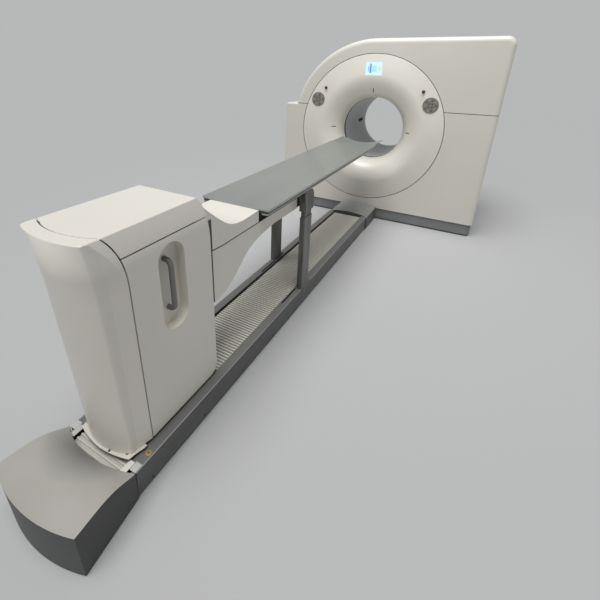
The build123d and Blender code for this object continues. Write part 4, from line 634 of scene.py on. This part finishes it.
# %% Pallet
PALLET = (0.20, 0.211, 0.195)
PALLET_CLOUD = (0.23, 0.241, 0.223)
RIM_HIGHLIGHT = (0.42, 0.43, 0.41)
EDGE_WIDTH = 0.013
EDGE_SOFT = 0.002
RIM_UNDERSIDE_SHADE = (0.045, 0.048, 0.045)
CROSS_JOINT = (0.11, 0.115, 0.11)
CROSS_HALF = 0.003
CROSS_SOFT = 0.001
RUNNER = (0.36, 0.37, 0.355)

pallet_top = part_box("pallet")[1][2]
cradle_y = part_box("head_cradle")[0][1]
pallet_skin, tree, shader = new_finish("pallet_skin", PALLET, roughness=0.38, coat=0.15)
wander(tree, shader, PALLET, PALLET_CLOUD, scale=4.0, low=0.3, high=0.75, stretch=(1, 0.3, 1))
height = axis_value(tree, "Object", "Z")
upright = steeper(tree, flat=0.8, steep=0.6)
shade_line_z = pallet_top - EDGE_WIDTH
low_rim = mask(tree, height, shade_line_z, shade_line_z - EDGE_SOFT)
cross = band(tree, axis_value(tree, "Object", "Y"), cradle_y, CROSS_HALF, CROSS_SOFT)
# Painted highlight: a pale band on the rim's upright edge.
over(tree, shader, upright, RIM_HIGHLIGHT)
# Painted shade: a dark line on the upright edge below the rim.
over(tree, shader, both(tree, upright, low_rim), RIM_UNDERSIDE_SHADE)
over(tree, shader, cross, CROSS_JOINT)
grain(tree, shader, scale=350.0, depth=0.0002, strength=0.15)
wear(pallet_skin, "pallet", "head_cradle")
runner_grey = grained("runner_grey", RUNNER, roughness=0.45, scale=400.0, depth=0.0002, strength=0.2)
wear(runner_grey, "pallet_runners")

# %% [markdown]
# ## Inside the bore
#
# The tunnel's liner is a cool grey with a slight sheen, and its rear rim is a lighter one. The thin ring
# where the X-ray beam passes is black. It keeps very little specular, so that it doesn't turn grey at the
# low angle at which the bore is seen.

# %% Bore
LINER = (0.42, 0.44, 0.43)
LINER_SHADE = (0.45, 0.47, 0.46)
RIM = (0.52, 0.53, 0.52)
WINDOW = (0.012, 0.012, 0.013)

liner_grey, tree, shader = new_finish("liner_grey", LINER, roughness=0.42, coat=0.2)
wander(tree, shader, LINER, LINER_SHADE, scale=3.0)
grain(tree, shader, scale=400.0, depth=0.0002, strength=0.15)
wear(liner_grey, "bore_liner")

rim_grey, tree, shader = new_finish("rim_grey", RIM, roughness=0.38, coat=0.2)
grain(tree, shader, scale=400.0, depth=0.0002, strength=0.15)
wear(rim_grey, "bore_rear_ring")

window_black, tree, shader = new_finish("window_black", WINDOW, roughness=0.6)
shader.inputs["Specular IOR Level"].default_value = 0.06
grain(tree, shader, scale=300.0, depth=0.0001, strength=0.1)
wear(window_black, "scan_window")

# %% [markdown]
# ## Laser windows
#
# Small slots in the flare let the positioning lasers out. They are matt, so that they read as holes. The two
# long windows in the liner are one piece with them, but they are grey covers with a dark slit along the
# middle: a band in height leaves the slit black, and a mask along Y keeps the grey inside the liner.

# %% Laser windows
SLOT = (0.016, 0.015, 0.015)
SLIT_HALF = 0.014
SLIT_START_Y = 0.5
SLIT_SOFT = 0.001

slot_black, tree, shader = new_finish("slot_black", SLOT, roughness=0.75)
shader.inputs["Specular IOR Level"].default_value = 0.1
slit = band(tree, axis_value(tree, "Object", "Z"), BORE_HEIGHT, SLIT_HALF, SLIT_SOFT)
beside_slit = maths(tree, "SUBTRACT", 1.0, slit)
in_liner = mask(tree, axis_value(tree, "Object", "Y"), SLIT_START_Y, SLIT_START_Y + SLIT_SOFT)
over(tree, shader, both(tree, beside_slit, in_liner), LINER)
grain(tree, shader, scale=300.0, depth=0.0001, strength=0.1)
wear(slot_black, "laser_windows")

# %% [markdown]
# ## Metal inside and underneath
#
# Frames, rails and blocks are mostly hidden, but they show between covers, so each gets its own metal:
# painted weldments, ground rails with lines along their length, and cast alloy with a soft sand texture.

# %% Metals
FRAME = (0.22, 0.225, 0.235)
FRAME_SHADE = (0.26, 0.265, 0.275)
STEEL = (0.56, 0.56, 0.57)
ALLOY = (0.52, 0.53, 0.54)
ALLOY_SHADE = (0.46, 0.47, 0.48)

frame_paint, tree, shader = new_finish("frame_paint", FRAME, roughness=0.5)
wander(tree, shader, FRAME, FRAME_SHADE, scale=12.0)
grain(tree, shader, scale=300.0, depth=0.0004, strength=0.3)
wear(
    frame_paint,
    "gantry_base", "dock_plate", "bed_chassis", "carriage_frame", "mast", "tower_front_panel",
    "xray_tube", "detector_arc",
)

ground_steel, tree, shader = new_finish("ground_steel", STEEL, roughness=0.28, metallic=1.0)
grain(tree, shader, scale=900.0, depth=0.0001, strength=0.25, stretch=(1, 0.02, 1))
wear(ground_steel, "guide_rails", "bearing_blocks", "main_bearing")

cast_alloy, tree, shader = new_finish("cast_alloy", ALLOY, roughness=0.5, metallic=0.9)
wander(tree, shader, ALLOY, ALLOY_SHADE, scale=20.0)
grain(tree, shader, scale=500.0, depth=0.0006, strength=0.4)
wear(
    cast_alloy,
    "drive_spine", "ct_stand", "pet_stand", "rotor_drum", "lift_slide", "drive_coils", "pet_detector_ring",
)

# %% [markdown]
# ## Handles, buttons and panels
#
# The grab handles are polished by hands, so they are glossier than the rest. The stop buttons are so deep a
# red that they read as dark dots from the bed's end. The key panels are an olive-grey membrane, and the
# beam's end block and the rollers are black moulded plastic.

# %% Small fittings
HANDLE = (0.15, 0.15, 0.145)
COLLAR = (0.45, 0.44, 0.41)
STOP_RED = (0.075, 0.006, 0.006)
MEMBRANE = (0.21, 0.20, 0.17)
MEMBRANE_SHADE = (0.245, 0.235, 0.20)
DARK = (0.03, 0.03, 0.03)

handle_grey, tree, shader = new_finish("handle_grey", HANDLE, roughness=0.27, coat=0.4)
grain(tree, shader, scale=600.0, depth=0.0002, strength=0.2)
wear(handle_grey, "grab_handles")

collar_grey = grained("collar_grey", COLLAR, roughness=0.4, scale=600.0, depth=0.0002, strength=0.2)
wear(collar_grey, "stop_collars")

stop_red, tree, shader = new_finish("stop_red", STOP_RED, roughness=0.35, coat=0.15)
grain(tree, shader, scale=400.0, depth=0.0001, strength=0.1)
wear(stop_red, "stop_button_left", "stop_button_right")

dark_moulding = grained("dark_moulding", DARK, roughness=0.55, scale=800.0, depth=0.0003, strength=0.3)
wear(dark_moulding, "beam_end_block", "support_roller_left", "support_roller_right")

panel_olive, tree, shader = new_finish("panel_olive", MEMBRANE, roughness=0.4)
wander(tree, shader, MEMBRANE, MEMBRANE_SHADE, scale=40.0)
grain(tree, shader, scale=500.0, depth=0.0002, strength=0.2)
wear(panel_olive, "key_panels")

# %% [markdown]
# ## The display's glass
#
# The display is lit from behind, so its glass has a glow of its own besides its colour. The glow is kept
# below full white: the screen stays pale blue and doesn't clip.

# %% Display glass
GLASS = (0.30, 0.42, 0.45)
GLASS_GLOW = (0.66, 0.88, 0.94)
GLASS_LEVEL = 0.72


def glow(shader, colour, level):
    """Let a surface give light of its own."""
    shader.inputs["Emission Color"].default_value = (*colour, 1)
    shader.inputs["Emission Strength"].default_value = level


screen_glow, tree, shader = new_finish("screen_glow", GLASS, roughness=0.2)
glow(shader, GLASS_GLOW, GLASS_LEVEL)
wear(screen_glow, "display_panel")

# %% [markdown]
# ## Smooth shading
#
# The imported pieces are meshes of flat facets. Shading them smooth below a sharp angle gives the curved
# covers their roundness back, and leaves real corners crisp.

# %% Shading
SHARP = math.radians(32)
for node in nodes.values():
    node.data.shade_smooth()
    node.data.set_sharp_from_angle(angle=SHARP)
print("smoothed", len(nodes), "pieces")

# %% [markdown]
# ## Two ways to make small trim
#
# Most of the trim that follows is either a pad with softened edges or a turned disc. The pad starts as a cube
# in bmesh, is stretched to its spans and gets a bevel of real size. The disc is a short profile spun round
# its axis, so its rim can have its own chamfer. A kit is a bmesh that collects such forms.

# %% Pads and discs
UP = (0, 0, 1)
FORWARD = (0, -1, 0)
CHAMFER_SHARE = 0.35
DISC_STEPS = 32


def add_pad(kit, x_span, y_span, z_span, bevel):
    """A pad with softened edges that fills one span along each axis."""
    spans = [sorted(span) for span in (x_span, y_span, z_span)]
    low, high = (Vector(corner) for corner in zip(*spans))
    size = high - low
    middle = (high + low) / 2
    made = bmesh.ops.create_cube(kit, size=1.0)
    for vertex in made["verts"]:
        vertex.co = Vector(a * b for a, b in zip(vertex.co, size)) + middle
    edges = list({edge for vertex in made["verts"] for edge in vertex.link_edges})
    bmesh.ops.bevel(kit, geom=edges, offset=bevel, segments=2, profile=0.6, affect="EDGES")


def add_disc(kit, centre, axis, profile, steps=DISC_STEPS):
    """A turned disc: the profile is a list of (radius, height) along the axis."""
    turn = Vector(axis).to_track_quat("Z", "Y").to_matrix().to_4x4()
    stand = Matrix.Translation(centre) @ turn
    angles = [2 * math.pi * step / steps for step in range(steps)]
    rings = []
    for reach, rise in profile:
        if reach == 0:
            spots = [(0, 0, rise)]
        else:
            spots = [(reach * math.cos(angle), reach * math.sin(angle), rise) for angle in angles]
        rings.append([kit.verts.new(stand @ Vector(spot)) for spot in spots])
    for lower, upper in zip(rings, rings[1:]):
        for step in range(steps):
            after = (step + 1) % steps
            here, there = step % len(lower), after % len(lower)
            above, beyond = step % len(upper), after % len(upper)
            face = [lower[here], lower[there], upper[beyond], upper[above]]
            kit.faces.new(list(dict.fromkeys(face)))
    bmesh.ops.recalc_face_normals(kit, faces=kit.faces)


def button_profile(size, rise, foot):
    """A low button: flat top with a chamfered rim, closed underneath, its foot a little below the seat."""
    soft = min(size, rise) * CHAMFER_SHARE
    return [(0, foot), (size, foot), (size, rise - soft), (size - soft, rise), (0, rise)]


print("large discs have", DISC_STEPS, "sides")

# %% [markdown]
# ## From kit to piece
#
# A kit becomes a mesh, gets its finish and the same smooth shading as the covers, and then rides on the body
# that carries it on the real machine.

# %% Pieces


def finish_piece(kit, name, material, body):
    """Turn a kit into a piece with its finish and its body."""
    mesh = bpy.data.meshes.new(name)
    kit.to_mesh(mesh)
    kit.free()
    mesh.materials.append(material)
    mesh.shade_smooth()
    mesh.set_sharp_from_angle(angle=SHARP)
    piece = bpy.data.objects.new(name, mesh)
    bpy.context.scene.collection.objects.link(piece)
    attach(piece, body)
    print(name, "has", len(mesh.polygons), "faces")


# %% [markdown]
# ## Keys on the two panels
#
# Each round panel carries a ring of flat keys round a direction pad. They are raised by about a millimetre
# and hold no symbols. The keys of one tone on a panel are one mesh, placed on circles about the panel's
# middle.

# %% Panel keys
KEY_PALE = (0.32, 0.31, 0.27)
KEY_DARK = (0.12, 0.115, 0.098)
KEY_RISE = 0.0015
KEY_FOOT = -0.0005
KEY_STEPS = 20
RING_KEYS = 10
RING_ORBIT = 0.055
RING_KEY_SIZE = 0.0105
PAD_KEYS = 4
PAD_ORBIT = 0.022
PAD_KEY_SIZE = 0.009
MIDDLE_KEY_SIZE = 0.0075


def add_key(kit, spot, size):
    """One round key that faces the bed."""
    add_disc(kit, spot, FORWARD, button_profile(size, KEY_RISE, KEY_FOOT), KEY_STEPS)


def add_key_circle(kits, middle, count, orbit, first_angle, size):
    """Keys on a circle; the kits take turns, so two kits give two tones in turn."""
    for step in range(count):
        angle = first_angle + 2 * math.pi * step / count
        add_key(kits[step % len(kits)], middle + orbit * Vector((math.cos(angle), 0, math.sin(angle))), size)


key_pale = grained("key_pale", KEY_PALE, roughness=0.45, scale=700.0, depth=0.0001, strength=0.2)
key_dark = grained("key_dark", KEY_DARK, roughness=0.45, scale=700.0, depth=0.0001, strength=0.2)
panels_low, panels_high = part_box("key_panels")
panel_radius = (panels_high[2] - panels_low[2]) / 2
for side, label in ((-1, "left"), (1, "right")):
    middle = Vector((side * (panels_high[0] - panel_radius), panels_low[1], panels_low[2] + panel_radius))
    pale = bmesh.new()
    dark = bmesh.new()
    add_key_circle((dark, pale), middle, RING_KEYS, RING_ORBIT, 0, RING_KEY_SIZE)
    add_key_circle((dark,), middle, PAD_KEYS, PAD_ORBIT, math.pi / 4, PAD_KEY_SIZE)
    add_key(pale, middle, MIDDLE_KEY_SIZE)
    finish_piece(pale, "panel_keys_pale_" + label, key_pale, "base")
    finish_piece(dark, "panel_keys_dark_" + label, key_dark, "base")

# %% [markdown]
# ## Figures on the display
#
# The display shows a scan plan: a pale field, a tall blue bar for the patient's outline and a few short rows
# of values. Drawn as thin tiles a fraction of a millimetre off the glass, with a glow of their own, they stay
# readable as soft blue shapes and say nothing.

# %% Display figures
FIELD_BLUE = (0.42, 0.70, 0.92)
BAR_BLUE = (0.08, 0.22, 0.55)
ROW_BLUE = (0.22, 0.46, 0.80)
TILE_LEVEL = 0.6
TILE_THICK = 0.0006
FIELD_LIFT = 0.0003
FIGURE_LIFT = 0.0010
ROW_STEP = 0.014

display_low, display_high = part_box("display_panel")
display_x = (display_low[0] + display_high[0]) / 2
display_z = (display_low[2] + display_high[2]) / 2


def glow_tiles(name, colour, lift, tiles):
    """Thin tiles on the glass; each is (x, z, width, height) from the display's middle."""
    material, tree, shader = new_finish(name, colour, roughness=0.3)
    glow(shader, colour, TILE_LEVEL)
    kit = bmesh.new()
    for x, z, width, height in tiles:
        x_span = (display_x + x - width / 2, display_x + x + width / 2)
        z_span = (display_z + z - height / 2, display_z + z + height / 2)
        add_pad(kit, x_span, (-lift - TILE_THICK, -lift), z_span, TILE_THICK / 4)
    finish_piece(kit, name, material, "base")


value_rows = [(0.004, 0.024 - ROW_STEP * row, 0.046 - 0.006 * (row % 2), 0.005) for row in range(4)]
unit_marks = [(0.060, 0.014 - ROW_STEP * row, 0.012, 0.007) for row in range(3)]
outline_bars = [(-0.036, 0.004, 0.017, 0.092), (-0.058, 0.002, 0.006, 0.05)]
glow_tiles("display_field", FIELD_BLUE, FIELD_LIFT, [(-0.010, 0.002, 0.105, 0.066)])
glow_tiles("display_bar", BAR_BLUE, FIGURE_LIFT, outline_bars)
glow_tiles("display_rows", ROW_BLUE, FIGURE_LIFT, value_rows + unit_marks)

# %% [markdown]
# ## Plates at the slot ends
#
# Behind the parked tower, small plates close the ends of the carriage slots, and the rails' outer ends have
# caps. The near slot's plate is pale; the far one takes the caps' grey, painted shade on the far side. Each
# is a thin pad that stands a hair above the rail, so that the two surfaces never fight.

# %% Slot and rail ends
END_PALE = (0.60, 0.585, 0.53)
END_PALE_SHADE = (0.54, 0.525, 0.475)
END_GREY = (0.43, 0.43, 0.41)
SLOT_END_X = (0.1515, 0.1785)
SLOT_END_Y = (-3.728, -3.672)
SLOT_END_RISE = 0.0032
RAIL_END_X = (0.1797, 0.2125)
RAIL_END_Y = (-3.7035, -3.664)
RAIL_END_RISE = 0.0026
PLATE_GAP = 0.0004
PLATE_BEVEL = 0.0008

rail_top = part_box("side_rail_right")[1][2]
end_pale, tree, shader = new_finish("end_pale", END_PALE, roughness=0.4)
wander(tree, shader, END_PALE, END_PALE_SHADE, scale=20.0)
grain(tree, shader, scale=600.0, depth=0.0002, strength=0.2)
end_grey = grained("end_grey", END_GREY, roughness=0.42, scale=600.0, depth=0.0002, strength=0.2)


def end_plate(side, x_span, y_span, rise):
    """A thin plate on the rail's top, on the left for side -1 and on the right for side 1."""
    kit = bmesh.new()
    add_pad(kit, [side * x for x in x_span], y_span, (rail_top + PLATE_GAP, rail_top + rise), PLATE_BEVEL)
    return kit


# The far slot's plate takes the caps' grey: painted shade on the far side.
for side, label, slot_material in ((-1, "left", end_grey), (1, "right", end_pale)):
    slot_kit = end_plate(side, SLOT_END_X, SLOT_END_Y, SLOT_END_RISE)
    finish_piece(slot_kit, "slot_end_" + label, slot_material, "base")
    rail_kit = end_plate(side, RAIL_END_X, RAIL_END_Y, RAIL_END_RISE)
    finish_piece(rail_kit, "strip_end_" + label, end_grey, "base")

# %% [markdown]
# ## Screws and a plug on the tower
#
# The skirt ring is held by countersunk screws, seen as black dots on its ledge, and a small dark plug closes
# a hole in the end cover's top. All are low turned discs, and they ride with the carriage.

# %% Tower screws
SCREW_AND_SHADOW_BLACK = (0.015, 0.015, 0.015)
SKIRT_SCREWS = ((0.051, -3.697), (-0.150, -3.655), (0.128, -3.668))
PLUG_PLACE = (-0.121, -3.663)
DOT_STEPS = 16

screw_and_shadow_black = grained("screw_and_shadow_black", SCREW_AND_SHADOW_BLACK, roughness=0.5, scale=600.0, depth=0.0002, strength=0.3)
kit = bmesh.new()
for x, y in SKIRT_SCREWS:
    add_disc(kit, (x, y, skirt_top), UP, button_profile(size=0.0055, rise=0.0006, foot=-0.0005), DOT_STEPS)
finish_piece(kit, "skirt_screws", screw_and_shadow_black, "carriage")

kit = bmesh.new()
plug_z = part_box("tower_end_cover")[1][2]
add_disc(kit, (*PLUG_PLACE, plug_z), UP, button_profile(size=0.004, rise=0.0004, foot=-0.001), DOT_STEPS)
finish_piece(kit, "tower_plug", screw_and_shadow_black, "carriage")

# %% [markdown]
# ## The ready light
#
# On the near rail sits a round light: an amber lens round an olive middle. Both are turned from profiles.
# The lens starts a fraction of a millimetre above the rail, and the middle starts inside the lens and
# stands a little taller, so neither shares a surface with the other.

# %% Ready light
AMBER = (0.30, 0.21, 0.09)
OLIVE = (0.12, 0.115, 0.02)
LAMP_PLACE = (0.194, -3.612, rail_top)
LENS_PROFILE = [(0, 0.0002), (0.014, 0.0002), (0.0135, 0.0016), (0.011, 0.0024), (0, 0.0028)]
MIDDLE_PROFILE = [(0, 0.0022), (0.0062, 0.0022), (0.005, 0.0036), (0, 0.0040)]

for name, finish, colour, profile in (
    ("ready_lamp", "lamp_lens", AMBER, LENS_PROFILE),
    ("ready_lamp_middle", "lamp_olive", OLIVE, MIDDLE_PROFILE),
):
    material, tree, shader = new_finish(finish, colour, roughness=0.25, coat=0.5)
    grain(tree, shader, scale=500.0, depth=0.0001, strength=0.1)
    kit = bmesh.new()
    add_disc(kit, LAMP_PLACE, UP, profile)
    finish_piece(kit, name, material, "base")

# %% [markdown]
# ## Screws along the skirts
#
# The long side rails hang on small dark screws near the floor. They are low pan heads, turned as discs and
# set square to the skirt, which leans in towards its foot.

# %% Skirt screws
SKIRT_SHIFT = 0.010
SKIRT_HEIGHT = 0.150
SKIRT_X = 0.2072
SCREW_Z = 0.032
SCREW_START_Y = -3.62
SCREW_STEP = 0.36
SCREW_PAIRS = 9
SCREW_PROFILE = button_profile(size=0.006, rise=0.0018, foot=-0.001)

lean = math.atan2(SKIRT_SHIFT, SKIRT_HEIGHT)
kit = bmesh.new()
for pair in range(SCREW_PAIRS):
    for side in (-1, 1):
        spot = (side * SKIRT_X, SCREW_START_Y + SCREW_STEP * pair, SCREW_Z)
        facing = (side * math.cos(lean), 0, -math.sin(lean))
        add_disc(kit, spot, facing, SCREW_PROFILE, DOT_STEPS)
finish_piece(kit, "rail_screws", screw_and_shadow_black, "base")
print("screws on each side:", SCREW_PAIRS)

# %% [markdown]
# ## The shadow gap under the plinth
#
# The plinth stops a finger's width above the floor, and a recessed black strip behind it is painted shade
# for the shadow gap. It is made of thin pads set back from the plinth's face, with the front one parted for
# the bed's hood.

# %% Plinth gap
SET_BACK = 0.030
STRIP_THICK = 0.008
STRIP_BEVEL = 0.001
STRIP_GAP = 0.0005
CORNER_GAP = 0.001
HOOD_CLEAR = 0.004

plinth_low, plinth_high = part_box("plinth_band")
hood_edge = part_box("gantry_hood")[1][0] + HOOD_CLEAR
left = plinth_low[0] + SET_BACK
right = plinth_high[0] - SET_BACK
front = plinth_low[1] + SET_BACK
back = plinth_high[1] - SET_BACK
front_run = (front, front + STRIP_THICK)
back_run = (back - STRIP_THICK, back)
side_run = (front + STRIP_THICK + CORNER_GAP, back - STRIP_THICK - CORNER_GAP)
strip_height = (STRIP_GAP, plinth_low[2] - STRIP_GAP)
kit = bmesh.new()
add_pad(kit, (left, -hood_edge), front_run, strip_height, STRIP_BEVEL)
add_pad(kit, (hood_edge, right), front_run, strip_height, STRIP_BEVEL)
add_pad(kit, (left, right), back_run, strip_height, STRIP_BEVEL)
add_pad(kit, (left, left + STRIP_THICK), side_run, strip_height, STRIP_BEVEL)
add_pad(kit, (right - STRIP_THICK, right), side_run, strip_height, STRIP_BEVEL)
# Painted shade: the black strip stands in for the shadow under the plinth.
finish_piece(kit, "plinth_shadow_strip", screw_and_shadow_black, "base")
print("plinth strip from", round(left, 3), "to", round(right, 3))
